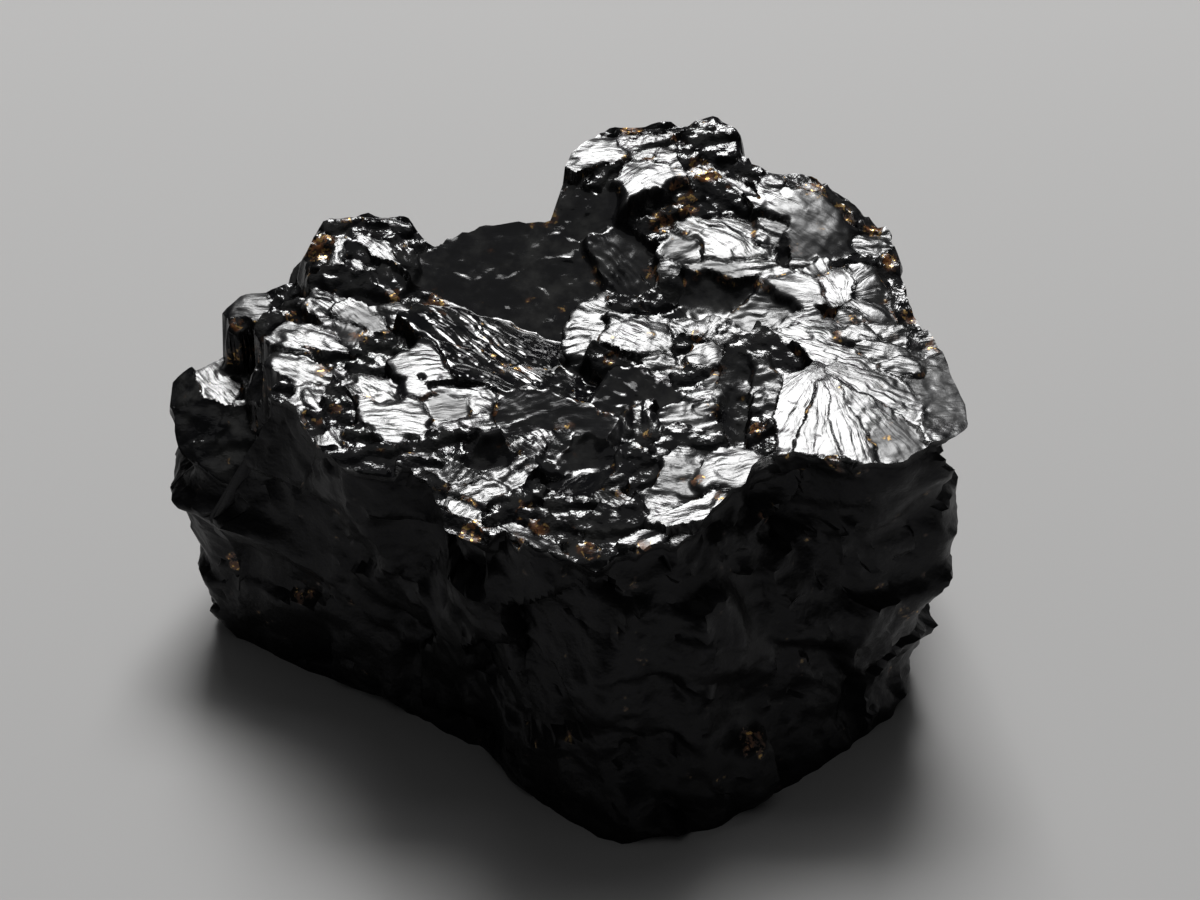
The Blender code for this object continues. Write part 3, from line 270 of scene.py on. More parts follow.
    (10.6, 7.3, 23.6, 1, 1.3, -30, 10, 0, 0, 0.1, (-2, 16), 0.6, 0.06, 0.7),
    (11.4, 6, 23.1, 0.25, 1, 10, 36, 8, 0, 0.1),
    (4.9, 6.1, 23, 1.1, 0.9, 30, 16, -2, 0.1, 0.06),
    (4.2, 4.9, 22.6, 0.5, 0.8, 10, 9, 0, 0.1, 0.08),
    (8.4, 4.4, 22.95, 2.3, 0.7, -3, 8, 1, 0.05, 0.06),
    (12.7, 4.9, 22.8, 0.8, 0.3, -4, 9, 2, 0.05, 0.12),
    (13.2, 8, 23.8, 2.8, 2.4, -30, 17, 7, 0.2, 0.03),
    (10.9, 11.3, 24.4, 1, 0.8, -10, 8, 0, 0.1, 0.12),
    (12.6, 11, 24.2, 1.2, 0.8, -30, 15, 6, 0, 0.2),
    (15.4, 10, 23.3, 1.6, 0.9, -50, 16, 16, 0, 0.3),
    # The dark bowl, and the small fan with its rays.
    (6.8, 2.6, 21.8, 2.4, 1.4, 0, 29, 2, -0.3, 0.04, (9, -4), 0.5, 0.08, 0.4),
    (4.2, 3.3, 21.7, 0.8, 0.8, 0, 36, -12, -0.2, 0.1),
    (9.8, 1.5, 21.9, 1.9, 1.5, 0, 19, -4, -0.2, 0.05, SMALL_FAN, 0.5, 0.08, 0.5),
    (12, 2.3, 22.7, 2.3, 1, -10, 8, -1, 0.08, 0.04, (15.4, 1.6), 0.45, 0.03),
    (14.4, 2.8, 22.7, 1.4, 1.4, 20, 8, 0, 0.08, 0.04, (14.9, 0.6), 0.5, 0.03),
    (13.4, 4.2, 22.9, 0.8, 1, 10, 11, 0, 0.08, 0.04, SMALL_FAN, 0.4, 0.05),
    (16.6, 3.2, 22.7, 1.6, 1.5, 30, 18, 6, 0.1, 0.02, SMALL_FAN, 0.38, 0.07, 0.6),
    (16.2, 0.9, 22.6, 1.5, 0.9, -25, 9, 3, 0.1, 0.04, SMALL_FAN, 0.5, 0.05),
    (16.6, 6.9, 22.9, 1.2, 0.9, 0, 10, 3, 0.12, 0.08),
    (17.9, 4.8, 22.4, 1, 1.8, 0, 22, 16, 0, 0.3),
    (18.8, 0.8, 22.2, 0.9, 2, 10, 14, 12, 0, 0.3),
    (15.8, 5.2, 22.8, 1.3, 0.5, -10, 28, -4, 0, 0.2),
    # The eye-shaped pit, the small round knob and the streaks above the large fan.
    (13.8, 0.8, 22, 0.8, 0.38, -35, 26, 0, -0.3, 0.12),
    (15.3, 0.3, 22.5, 0.8, 0.6, 5, 9, 0, 0.1, 0.03),
    (11.9, 0, 22.3, 1.2, 0.6, 28, 8, -1, 0.08, 0.07),
    (13.1, -1.6, 22.5, 1.9, 1.1, -25, 8, -1, 0.08, 0.06, (2, 4), 0.5, 0.04),
    (10.5, -3.7, 21.9, 1.7, 1.1, -20, 23, -3, -0.1, 0.14),
    (15, -2.1, 22.7, 1.8, 0.7, -16, 10, 0, 0.1, 0.08, (4, 1), 0.4, 0.07, 0.7),
    (17.9, -1.6, 22.5, 1.2, 0.9, 10, 10, 3, 0.1, 0.1),
    (13.6, -3.8, 22.7, 2, 0.9, -20, 8, 0, 0.05, 0.04, (4, 1), 0.5, 0.04),
    (16.6, -3.6, 22.7, 1.4, 0.8, -10, 13, 2, 0.05, 0.06, (6, -1), 0.4, 0.08, 0.6),
    # The large bright fan, which is shaped like a scallop shell.
    (11.5, -8.1, 22.3, 1.3, 3.3, -26, 8, -1, 0.05, 0.02, FAN, 0.5, 0.022),
    (12.7, -9.4, 22.3, 1, 3.6, -4, 8, -1, 0.05, 0.01, FAN, 0.5, 0.02),
    (14.2, -9.7, 22.3, 1, 3.7, 12, 8, 0, 0.05, 0.01, FAN, 0.5, 0.02),
    (15.9, -9.6, 22.2, 1.3, 3.4, 34, 10, 4, 0.05, 0.03, FAN, 0.45, 0.035, 0.7),
    (16, -7, 22.5, 1, 2.9, 60, 8, 2, 0.05, 0.03, FAN, 0.45, 0.03),
    (12.6, -12.7, 21.6, 1.9, 0.35, -14, 26, 0, 0, 0.3),
    (17.8, -4.9, 22.7, 1.1, 0.7, -10, 8, 0, 0.08, 0.04),
    # The flat grey corner at the right.
    (20.3, -7, 22, 1.4, 3.2, 8, 3, 8, 0, 0.05),
    (19.6, -2.2, 22.2, 0.9, 1.2, 0, 10, 4, 0, 0.16),
)]
# How suddenly one facet gives way to the next, and how far its edge wanders, in large and small waves.
FACET_SHARPNESS = 9.0
FACET_WANDER = 0.35
FINE_WANDER = 0.12

# One of the long thin ribs: the points it runs through, how wide it is and how high.
Strand = namedtuple("Strand", "points width height")
STRANDS = [Strand(*row) for row in (
    # The sweep from the rusty hollow down into the valley.
    (((-11, 2.2), (-10, 1.3), (-9.1, 0.3), (-7.7, -1.3), (-6.6, -2.6), (-5.2, -3.3)), 0.13, 0.09),
    (((-9.6, 1.9), (-8.9, 1.6), (-8.2, 1), (-7.1, -0.3), (-6.1, -1.5), (-4.9, -2.4)), 0.15, 0.11),
    (((-9, 2.3), (-8.1, 1.7), (-6.9, 0.3), (-5.7, -1), (-4.6, -1.9)), 0.11, 0.07),
    (((-8.7, 2.3), (-8.1, 2), (-6.7, 0.3), (-5.3, -0.7), (-4.2, -1.4)), 0.15, 0.11),
    (((-8, 2.4), (-6.9, 1.3), (-5.6, 0.2), (-4.4, -0.6)), 0.1, 0.05),
    (((-7.6, 2.4), (-6.4, 1), (-5, 0.2), (-3.9, -0.6)), 0.12, 0.06),
    (((-10.4, 2), (-9.4, 1.2), (-8.5, 0.2), (-7.4, -1), (-6.4, -2)), 0.1, 0.05),
    (((-10.9, 0.9), (-10.2, 0.2), (-9.2, -0.8), (-8.3, -1.7)), 0.13, 0.08),
    (((-10.7, 1.5), (-9.8, 0.6), (-8.9, -0.3), (-7.9, -1.5), (-6.9, -2.5)), 0.1, 0.05),
    (((-10.2, -0.2), (-9.3, -1.1), (-8.5, -1.9), (-7.2, -2.9)), 0.13, 0.09),
    (((-9.5, -1.9), (-8.6, -2.6), (-7.4, -3.2), (-6.2, -3.7)), 0.12, 0.07),
    (((-4.8, -2.5), (-4, -3), (-3.1, -3.7)), 0.15, 0.1),
    (((-5.8, -2.9), (-4.8, -3.5), (-3.8, -4.2)), 0.12, 0.07),
    (((-9.4, -3.4), (-8.7, -3.8), (-7.2, -4.1), (-5, -4.8)), 0.13, 0.09),
    (((-8.6, -4.5), (-7.2, -4.8), (-5.8, -5.2), (-4.4, -5.6)), 0.11, 0.06),
    (((-6.6, -4.6), (-5.2, -5.2), (-3.4, -5.7)), 0.12, 0.07),
    (((-4.5, -4.2), (-3.7, -4.8), (-2.8, -5.4)), 0.14, 0.1),
    # Fainter ones that spread from the valley's right end.
    (((-3.6, -2), (-2.2, -2.4), (-0.8, -3.2)), 0.12, 0.06),
    (((-0.6, -3.3), (1.2, -4.4), (2.6, -5.5)), 0.11, 0.06),
    (((-1.6, -4), (0.4, -4.8), (2.4, -5.9)), 0.1, 0.05),
    (((0.2, -2.9), (1.6, -3.7), (3, -5.2)), 0.1, 0.05),
    (((1.6, -3), (2.4, -3.9), (3.2, -5.4)), 0.1, 0.05),
    (((-2.6, -5.2), (0, -5.6), (2.4, -6.2)), 0.1, 0.05),
    (((-2.4, -6.6), (0, -6.3), (2.4, -6.4)), 0.1, 0.05),
    (((-5.6, -8), (-4.4, -7.5), (-3.2, -6.8)), 0.12, 0.07),
    # The faint curve across the dark slope at the back, and a few short glints below it.
    (((-6.4, 4.4), (-5.4, 5.2), (-3.8, 6), (-2, 6.2), (-0.6, 5.6)), 0.13, 0.055),
    (((-5.6, 4.6), (-5, 3.9), (-4.8, 3.3)), 0.13, 0.06),
    (((-4.2, 4.4), (-3.5, 4.2), (-3.2, 3.6)), 0.13, 0.06),
    # Curved lines on the leaf and round the small pit.
    (((-1, 7.9), (0, 6.6), (1.6, 4.9), (2.6, 3.6)), 0.14, 0.11),
    (((-0.4, 8.2), (1, 6.2), (2.2, 5.2), (3, 4.2)), 0.12, 0.09),
    (((0.2, 8), (1.5, 6.2), (2.7, 5.2), (3.3, 4.6)), 0.11, 0.07),
    (((-1.2, 6.9), (-0.2, 5.6), (1.4, 4.2), (2.4, 3.3)), 0.12, 0.09),
    (((-1.2, 6.2), (-0.2, 5), (1.2, 3.7), (2, 3.1)), 0.11, 0.07),
    (((12.8, 0.8), (13.6, 1.2), (14.8, 0.7), (16, -0.5), (15.6, -1.4), (14.2, -0.6)), 0.15, 0.12),
)]

# One scar on the sides. It is at this angle round the hub from +X, in degrees, and this height, and
# it fills an ellipse of these half sizes, turned by turn degrees. depth is how far its middle is
# sunk, or raised if negative.
Scar = namedtuple("Scar", "angle z wide high turn depth")
SCARS = [Scar(*row) for row in (
    # The left end, with its ledge.
    (176, 13.6, 3.6, 1.6, 5, 0.9),
    (188, 8.4, 4.6, 2.6, -12, 1.1),
    (170, 5, 4.2, 3, 20, 0.8),
    (184, 11.2, 4, 0.7, 0, -0.7),
    # The front left side.
    (205, 12, 4.4, 5.6, 10, 0.6),
    (216, 5.2, 5.2, 3.4, -20, 0.8),
    (226, 14.4, 3, 4.4, 0, 0.7),
    (240, 8.6, 3.8, 5.2, 15, 0.7),
    # The front right side, with the small steps under its edge.
    (262, 13.2, 3.2, 3.6, -10, 0.7),
    (275, 6, 4, 3.6, 25, 0.7),
    (288, 13.6, 4.4, 4.2, 0, 0.6),
    (306, 7, 4.6, 3.2, -15, 0.9),
    (314, 19.3, 2.4, 0.9, 20, 0.8),
    (322, 17.6, 3, 1.1, 12, 0.9),
    (334, 13.2, 3.4, 3.8, 0, 0.7),
    # The right end, cut in near the floor.
    (342, 16.6, 3.6, 3, 0, 1),
    (337, 4, 3.4, 3, 0, 1.2),
    (346, 8.8, 3.6, 2.6, 10, 0.8),
    (2, 14.6, 4.8, 3.8, -15, 0.9),
    (18, 7.6, 5.2, 4, 10, 1),
    (30, 15.8, 3.8, 3.2, 25, 0.8),
    # The back, with the hollow beside the knob.
    (48, 9, 5.4, 3.6, -20, 1.2),
    (66, 17.2, 4.6, 3.2, 10, 0.9),
    (80, 8, 5, 4.4, 15, 1),
    (104, 15.2, 5.4, 4.4, -10, 1.3),
    (122, 7, 5.2, 3.6, 12, 1),
    (138, 15.6, 4, 4, 20, 0.9),
    (154, 8.6, 4.4, 3.4, -15, 0.9),
)]

# The flat patch that it stands on reaches this far from the middle of the base. Round it, shallow
# flakes are lost, which reach their full depth this much farther out.
REST_RADIUS = 9.0
FLAKE_DEPTH = 0.9
FLAKE_REACH = 3

# Spacing of the points of the fine mesh.
TOP_SPACING = 0.15
SIDE_SPACING = 0.4
BASE_SPACING = 0.7
# The long ribs and the large fan are finer: the middle and half size of each patch, and their spacing.
FINE_PATCHES = ((-5.4, -1.8, 6, 4.6), (14, -8.6, 4.6, 5.2))
FINE_SPACING = 0.1
# Edges sharper than this, in degrees, are shaded as creases.
CREASE = 38.0

# Rust and golden specks: a middle and a radius each.
RUST = (
    # The left end and its lump.
    (-17.4, 6.6, 23, 1.4), (-9.9, 3.2, 21.2, 1.5), (-16.8, -3, 21.1, 0.9), (-18.9, 1.6, 21, 0.9),
    (-14.6, -0.5, 21.5, 0.9), (-21, -0.6, 15.6, 0.9), (-22.6, 3.4, 19.3, 0.8), (-12.6, 3, 21.9, 0.7),
    (-11, 5, 22.4, 0.7), (-13.8, -6.5, 21, 0.7), (-15.6, -6.6, 20.6, 0.6),
    # The front edge.
    (-7.3, -17, 20.1, 1.2), (-4.6, -17.6, 20, 0.8), (-3.4, -16.4, 20.2, 0.9), (-0.6, -18.4, 19.9, 1),
    (1.3, -14.4, 20.7, 0.8), (5.6, -13.9, 21.3, 0.6), (6.6, -15, 21.3, 0.7), (2.6, -18.2, 20.3, 0.6),
    # The middle.
    (-0.2, -1.1, 21.2, 0.8), (0.8, -2, 20.8, 0.8), (5.9, -0.5, 21.4, 0.6), (7.1, -4, 21.1, 0.9),
    (9.2, -9.8, 21.9, 1.2), (2.9, -9.6, 21.1, 0.6),
    # Between the knob and the right edge.
    (6.4, 11.6, 25.2, 1.3), (5.4, 9.2, 24.2, 1.3), (3.8, 8.2, 23.7, 1.1), (1.8, 14.8, 26.3, 1),
    (3.2, 4.2, 22.4, 0.6), (15.2, 9.6, 23.4, 1.2), (13.2, 10.6, 24.2, 1.3), (17.2, 8.4, 22.8, 1),
    (17.8, 5.4, 22.4, 1), (18.4, 3.2, 22.3, 0.9), (18.9, 0.5, 22.2, 0.9), (19.8, -2.5, 22.2, 1.1),
    (13.8, 0.6, 22, 0.9), (15.3, 0, 22.2, 0.5),
    # The foot of the large fan.
    (13.2, -13.2, 21.9, 1.1), (15.2, -13.6, 21.9, 1.3), (10.4, -12.2, 21.9, 0.8),
    # The sides.
    (-25.9, -1.2, 13.4, 0.8), (-22.9, -4.6, 14.6, 0.9), (-23, -4.9, 7, 0.9), (-18.6, -7.6, 6.4, 0.8),
    (-2.6, -19.6, 13.6, 0.9), (10, -14.3, 17.6, 1.1), (12.4, -13.8, 17.8, 1), (8.7, -18.4, 4.5, 1.5),
    (6.6, -19.6, 3.6, 1),
)
# Facets with a greyer, satin surface: a middle and a radius each.
SATIN = (
    (12.8, 7.6, 23.9, 3), (20.4, -6.8, 22, 2.6), (4.7, -13.4, 21.3, 1.8), (-8.9, -7, 21.2, 1.4),
    (17.2, -11, 22.2, 1.8), (5, -7.8, 20.9, 1.6), (9.8, -6.9, 21.6, 1.2),
    (4.9, 6.3, 23, 1.2), (-14.6, 0.4, 21.6, 1.6), (9.5, -5, 21.6, 1.8), (-21.8, 4.8, 19.6, 1.4),
    (7, 3.2, 21.9, 3), (10, 1.4, 21.9, 2.6),
    (1, 5.6, 22.4, 2.4), (8, -4.4, 21.2, 2),
)
# How strongly rust gathers in the seams between facets.
SEAM_RUST = 0.5
# Small round holes: a middle, a radius and a depth each.
HOLES = ((-10.6, -4.9, 0.25, 0.25), (1.6, -9.6, 0.3, 0.25))
# The fine ribs on every facet: their pitch and height, and how much of the pitch they fill.
FINE_PITCH = 0.36
FINE_RIB = 0.016
FINE_SHARE = 0.8
# How much of a rib's width its long slope takes, and how much of that slope's lean the facet takes back.
LONG_SLOPE = 0.7
LEVELLED = 0.6
# Where a facet has no apex, its grain comes from this far off.
GRAIN_REACH = 14
# Most facets lean about this many degrees to the front. Those within GRAINY_LEAN of that have the full
# fine grain, and it fades to its least by about SMOOTH_LEAN.
USUAL_LEAN = 8
GRAINY_LEAN = 8
SMOOTH_LEAN = 20
LEAST_GRAIN = 0.2
# The roughness of facets that counts as fully crumbly at their edges, and in the material.
CRUMBLY_EDGE = 0.08
CRUMBLY_FACE = 0.2
# How high the chips along the facets' edges are, and how far in they reach, as from_middle measures.
EDGE_CHIPS = 0.2
EDGE_REACH = 0.5
# How high the chips all over the top are.
SMALL_CHIPS = 0.02
# Small crystals on the smooth dark facets: their spacing and height, and the noise above which one is.
GLINT_PITCH = 0.3
GLINT_HEIGHT = 0.09
GLINT_START = 0.45
# The chips on the sides: their height, pitch, seed and crispness.
SIDE_CHIPS = ((0.22, 5.5, 51, 30), (0.15, 2.2, 61, 40), (0.14, 1.0, 71, 40), (0.08, 0.6, 76, 30))
# They fade out within this far of the rim and of the base.
RIM_FADE = 1.2
BASE_FADE = 0.9
# How much the height of the belt varies.
BELT_SWAY = 1.6
# How strong the fine grain of the sides and the underside is, and how fine it is across and along.
SIDE_GRAIN = 1.0
SIDE_GRAIN_SCALE = (0.55, 4)
SIDE_ROUGH = 0.1
# Steps of the top whose normals rise less than this are as dull as the sides, and darkened with the same
# painted shade.
STEEP = 0.6
STEEP_FADE = 0.2
# How far the top's points are moved sideways, which roughens its upright steps, and how broadly.
CLIFF_CHIPS = 0.12
CLIFF_PITCH = 0.7


def scatter(i, j, k, seed):
    """A number from 0 to 1 that looks random and is always the same for the same cell."""
    value = np.sin(i * 127.1 + j * 311.7 + k * 74.7 + seed * 53.3) * 43758.5453
    return value - np.floor(value)


def noise(x, y, z, seed):
    """Smooth noise from -1 to 1, with features about 1 wide."""
    i, j, k = np.floor(x), np.floor(y), np.floor(z)
    u, v, w = (t * t * (3 - 2 * t) for t in (x - i, y - j, z - k))
    total = np.zeros_like(x)
    for right in (0, 1):
        for back in (0, 1):
            for up in (0, 1):
                share = abs(1 - right - u) * abs(1 - back - v) * abs(1 - up - w)
                total += share * scatter(i + right, j + back, k + up, seed)
    return 2 * total - 1


def chips(x, y, z, pitch, seed, crispness=18):
    """Small flat chips, each tilted its own way: a height of about -pitch to pitch."""
    i, j, k = np.floor(x / pitch), np.floor(y / pitch), np.floor(z / pitch)
    total, weight = np.zeros((2, len(x)))
    for cell in np.ndindex(3, 3, 3):
        a, b, c = i + cell[0] - 1, j + cell[1] - 1, k + cell[2] - 1
        squared, height = 0, 0
        for axis, (place, corner) in enumerate(((x, a), (y, b), (z, c))):
            away = place - (corner + 0.15 + 0.7 * scatter(a, b, c, seed + axis)) * pitch
            squared = squared + away * away
            height = height + (2 * scatter(a, b, c, seed + 3 + axis) - 1) * away
        near = np.exp(-crispness * squared / pitch**2)
        total += near * (height + (scatter(a, b, c, seed + 6) - 0.5) * pitch)
        weight += near
    return total / weight


def from_middle(x, y, turn, long, short):
    """How far points are from the middle of a turned ellipse, squared, in its half sizes."""
    turn = math.radians(turn)
    along = x * math.cos(turn) + y * math.sin(turn)
    across = y * math.cos(turn) - x * math.sin(turn)
    return (along / long) ** 2 + (across / short) ** 2


def apex_of(facet):
    """Where the facet's grain spreads from: the apex of its ribs, or else a far point in line with it."""
    if facet.apex:
        return facet.apex
    turn = math.radians(facet.turn)
    return facet.x - GRAIN_REACH * math.cos(turn), facet.y - GRAIN_REACH * math.sin(turn)


def grain(facet, x, y):
    """How far each point is across the facet's grain and along it, and how far along its middle is."""
    apex_x, apex_y = apex_of(facet)
    dx, dy = x - apex_x, y - apex_y
    distance = np.hypot(dx, dy)
    middle_x, middle_y = facet.x - apex_x, facet.y - apex_y
    far = math.hypot(middle_x, middle_y)
    angle = np.arctan2(dy * middle_x - dx * middle_y, dx * middle_x + dy * middle_y)
    sway = 0.3 * noise(distance / 2.5, angle * 6, facet.x, 5)
    sway = sway + 0.1 * noise(distance / 0.9, angle * far / 0.8, facet.y, 9)
    return angle * far + sway, distance, far


def teeth(across, run, pitch, share, seed):
    """Ribs with a long slope and a short steep side, from -0.5 to 0.5, each of its own height."""
    number = np.floor(across / pitch)
    phase = (across / pitch - number) / share
    ridge = np.clip(np.minimum(phase / LONG_SLOPE, (1 - phase) / (1 - LONG_SLOPE)), 0, 1) - 0.5
    return ridge * (0.6 + 0.4 * noise(number, seed, 0.3 * run, 6))


def graininess(facet):
    """How strong the facet's fine grain is. The ones that lean the most, any way, are the smoothest."""
    away = math.hypot(facet.toward - USUAL_LEAN, facet.right)
    return min(1.0, max(LEAST_GRAIN, (SMOOTH_LEAN - away) / (SMOOTH_LEAN - GRAINY_LEAN)))


def relief(facet, x, y):
    """How far the facet's ribs, flakes and chips stand out, and the place across and along its grain."""
    across, run, far = grain(facet, x, y)
    broken = np.clip(0.55 + 0.9 * noise(across / 0.9, run / 2.6, facet.y, 7), 0, 1.2)
    large = facet.rib * teeth(across, run, facet.pitch, facet.share, facet.x)
    fine = FINE_RIB * graininess(facet) * teeth(across, run, FINE_PITCH, FINE_SHARE, facet.y) * broken
    if facet.share < 1:
        large = large * broken
    else:
        large = large - LEVELLED * facet.rib / (LONG_SLOPE * facet.pitch) * across
    # The ribs rise from nothing at their apex.
    height = (large + fine) * np.clip(run / far, 0, 1.1) ** 2
    flakes = chips(across, run / 1.8, 0, 1.1, 21) + 0.8 * chips(across, run / 1.5, 0, 0.5, 31)
    return height + facet.rough * flakes, across, run


def strand_height(strand, x, y):
    """How far the thin rib stands out at each point. It fades out towards both of its ends."""
    points = np.array(strand.points)
    steps = np.diff(points, axis=0)
    lengths = np.hypot(steps[:, 0], steps[:, 1])
    nearest = np.full_like(x, np.inf)
    place = np.zeros_like(x)
    passed = 0.0
    for (start_x, start_y), (step_x, step_y), length in zip(points, steps, lengths):
        share = ((x - start_x) * step_x + (y - start_y) * step_y) / length**2
        share = np.clip(share, 0, 1)
        away = np.hypot(x - start_x - share * step_x, y - start_y - share * step_y)
        closer = away < nearest
        nearest = np.where(closer, away, nearest)
        place = np.where(closer, (passed + share * length) / lengths.sum(), place)
        passed += length
    uneven = np.sqrt(np.sin(math.pi * place)) * (0.75 + 0.45 * noise(x / 1.2, y / 1.2, 0, 18))
    return strand.height * np.exp(-((nearest / strand.width) ** 2)) * uneven


def apart_from_facets(x, y):
    """How far each point is from each facet's middle, squared, in its half sizes. Their edges wander."""
    wander_x = x + FACET_WANDER * noise(x / 1.6, y / 1.6, 0, 11)
    wander_y = y + FACET_WANDER * noise(x / 1.6, y / 1.6, 0, 13)
    wander_x = wander_x + FINE_WANDER * noise(x / 0.5, y / 0.5, 0, 12)
    wander_y = wander_y + FINE_WANDER * noise(x / 0.5, y / 0.5, 0, 14)
    return [
        from_middle(wander_x - facet.x, wander_y - facet.y, facet.turn, facet.long, facet.short)
        for facet in FACETS
    ]


def facet_height(facet, x, y, distance):
    """The height of the facet's plane, which its middle rises above by its dome."""
    height = facet.z + math.tan(math.radians(facet.toward)) * (y - facet.y)
    height = height - math.tan(math.radians(facet.right)) * (x - facet.x)
    return height + facet.dome * (1 - np.minimum(distance, 2))


def small_relief(x, y, rough, edge, smooth):
    """How far the chips, the crystals, the strands and the holes of the whole top stand out."""
    crumbs = chips(x, y, 0, 0.9, 36) + 0.7 * chips(x, y, 0, 0.45, 37)
    crumbs = crumbs * np.clip(rough / CRUMBLY_EDGE, 0.1, 1)
    height = EDGE_CHIPS * edge * crumbs + SMALL_CHIPS * chips(x, y, 0, 0.7, 38)
    glints = np.clip(noise(x / GLINT_PITCH, y / GLINT_PITCH, 0, 23) - GLINT_START, 0, 1)
    height = height + GLINT_HEIGHT * glints * smooth
    sway_x, sway_y = x + 0.1 * noise(x, y, 0, 19), y + 0.1 * noise(x, y, 0, 20)
    for strand in STRANDS:
        height = height + strand_height(strand, sway_x, sway_y)
    for hole_x, hole_y, radius, depth in HOLES:
        height = height - depth * np.clip(1 - ((x - hole_x) ** 2 + (y - hole_y) ** 2) / radius**2, 0, 1)
    return height


def top_surface(x, y):
    """The height of the top at each x, y, and its marks there.

    The marks are five columns: the place across and along the grain, how grainy and how rough the
    facets are, and how near the edge of a facet is.
    """
    apart = apart_from_facets(x, y)
    nearest, second = np.partition(apart, 1, axis=0)[:2]
    sharpness = FACET_SHARPNESS * (1 + 0.6 * noise(x / 1.5, y / 1.5, 0, 15))
    total, weight, rough = np.zeros((3, len(x)))
    marks = np.zeros((len(x), 5))
    for facet, distance in zip(FACETS, apart):
        near = distance - nearest < 1
        share = np.exp(-(sharpness * (distance - nearest))[near])
        height = facet_height(facet, x[near], y[near], distance[near])
        extra, across, run = relief(facet, x[near], y[near])
        total[near] += share * (height + extra)
        weight[near] += share
        rough[near] += share * facet.rough
        own = (distance <= nearest)[near]
        own_marks = np.column_stack([across, run, graininess(facet) + 0 * run])[own]
        marks[np.flatnonzero(near)[own], :3] = own_marks
    marks[:, 3] = rough / weight
    marks[:, 4] = np.clip(1 - (second - nearest) / EDGE_REACH, 0, 1)
    smooth = np.clip(1.2 - marks[:, 2], 0, 1)
    return total / weight + small_relief(x, y, marks[:, 3], marks[:, 4], smooth), marks


def from_hub(x, y):
    """The angle of each point round the hub, and how far from it the point is."""
    return np.arctan2(y - HUB[1], x - HUB[0]), np.hypot(x - HUB[0], y - HUB[1])


def round_hub(angles, far):
    """The points at these angles round the hub and this far from it."""
    return HUB[0] + far * np.cos(angles), HUB[1] + far * np.sin(angles)


def reach(outline, angles):
    """How far the outline is from the hub at each of these angles."""
    points = np.array(outline) - HUB
    ends = np.roll(points, -1, axis=0)
    start = np.arctan2(points[:, 1], points[:, 0])
    turn = np.mod(np.arctan2(ends[:, 1], ends[:, 0]) - start, math.tau)
    result = np.zeros_like(angles)
    for (x, y), (end_x, end_y), first, span in zip(points, ends, start, turn):
        here = np.mod(angles - first, math.tau) <= span
        side = x * end_y - y * end_x
        facing = np.cos(angles) * (end_y - y) - np.sin(angles) * (end_x - x)
        result[here] = (side / facing)[here]
    return result


def rim_angles(spacing):
    """Angles round the hub at which points on the rim are evenly spaced."""
    angles = np.linspace(0, math.tau, 4001)
    far = reach(RIM, angles)
    x, y = far * np.cos(angles), far * np.sin(angles)
    run = np.concatenate([[0], np.cumsum(np.hypot(np.diff(x), np.diff(y)))])
    count = round(run[-1] / spacing)
    return np.interp(np.arange(count) * run[-1] / count, run, angles)


def ragged(angles, seed):
    """How far an edge's small bites and teeth stand in from its outline."""
    x, y = 8 * np.cos(angles), 8 * np.sin(angles)
    return 0.3 * noise(x, y, 0, seed) + 0.2 * noise(3 * x, 3 * y, 0, seed + 1) - 0.2


def scar_depth(angles, far, z):
    """How deep the scars are at these angles round the hub and heights, this far from it."""
    depth = 0 * z
    for scar in SCARS:
        aside = (np.mod(angles - math.radians(scar.angle) + math.pi, math.tau) - math.pi) * far
        distance = from_middle(aside, z - scar.z, scar.turn, scar.wide, scar.high)
        depth = depth + scar.depth * np.clip(1 - distance, 0, 1)
    return depth


def side_points(angles, spacing):
    """Rows of points down the sides, from the rim to the base."""
    rim = reach(RIM, angles) + ragged(angles, 41)
    steady = rim.copy()
    for _ in range(round((RIM_BLUR / spacing) ** 2)):
        steady = (np.roll(steady, 1) + 2 * steady + np.roll(steady, -1)) / 4
    belt = reach(BELT, angles)
    base = reach(BASE, angles) + ragged(angles, 45)
    rim_z = top_surface(*round_hub(angles, rim))[0]
    belt_z = BELT_Z + BELT_SWAY * noise(2.5 * np.cos(angles), 2.5 * np.sin(angles), 0, 43)
    rows = []
    for share in np.linspace(1, 0, round(SIDE_HEIGHT / spacing) + 1):
        z = rim_z * share
        upper = np.clip((z - belt_z) / (rim_z - belt_z), 0, 1)
        lower = np.clip(z / belt_z, 0, 1)
        far = base + (belt - base) * lower + (steady - belt) * upper
        far = far + (rim - steady) * np.exp((z - rim_z) / RIM_REACH)
        x, y = round_hub(angles, far)
        broken = sum(height * chips(x, y, z, *form) for height, *form in SIDE_CHIPS)
        fade = np.clip((rim_z - z) / RIM_FADE, 0, 1) * np.clip(z / BASE_FADE, 0, 1)
        far = far + (broken - SIDE_SINK - scar_depth(angles, far, z)) * fade
        rows.append(np.column_stack([*round_hub(angles, far), z]))
    return rows


def base_height(x, y):
    """The height of the underside: flat where it rests, with shallow flakes lost towards its edge."""
    away = np.hypot(x - MIDDLE[0], y - MIDDLE[1]) - REST_RADIUS
    flake = noise(x / 5, y / 5, 0, 81) + 0.5 * chips(x, y, 0, 2.5, 91)
    return FLAKE_DEPTH * np.clip(flake, 0, 1) * np.clip(away / FLAKE_REACH, 0, 1)


def even_points(ring, spacing):
    """An even grid of points over the ring's box."""
    rows = np.arange(ring[:, 1].min(), ring[:, 1].max(), spacing * math.sqrt(0.75))
    columns = np.arange(ring[:, 0].min(), ring[:, 0].max(), spacing)
    x, y = np.meshgrid(columns, rows)
    x[1::2] += spacing / 2
    return x.ravel(), y.ravel()


def in_patches(x, y, patches):
    """Which of the points are in one of the patches."""
    inside = np.zeros(len(x), bool)
    for middle_x, middle_y, half_x, half_y in patches:
        inside |= from_middle(x - middle_x, y - middle_y, 0, half_x, half_y) < 1
    return inside


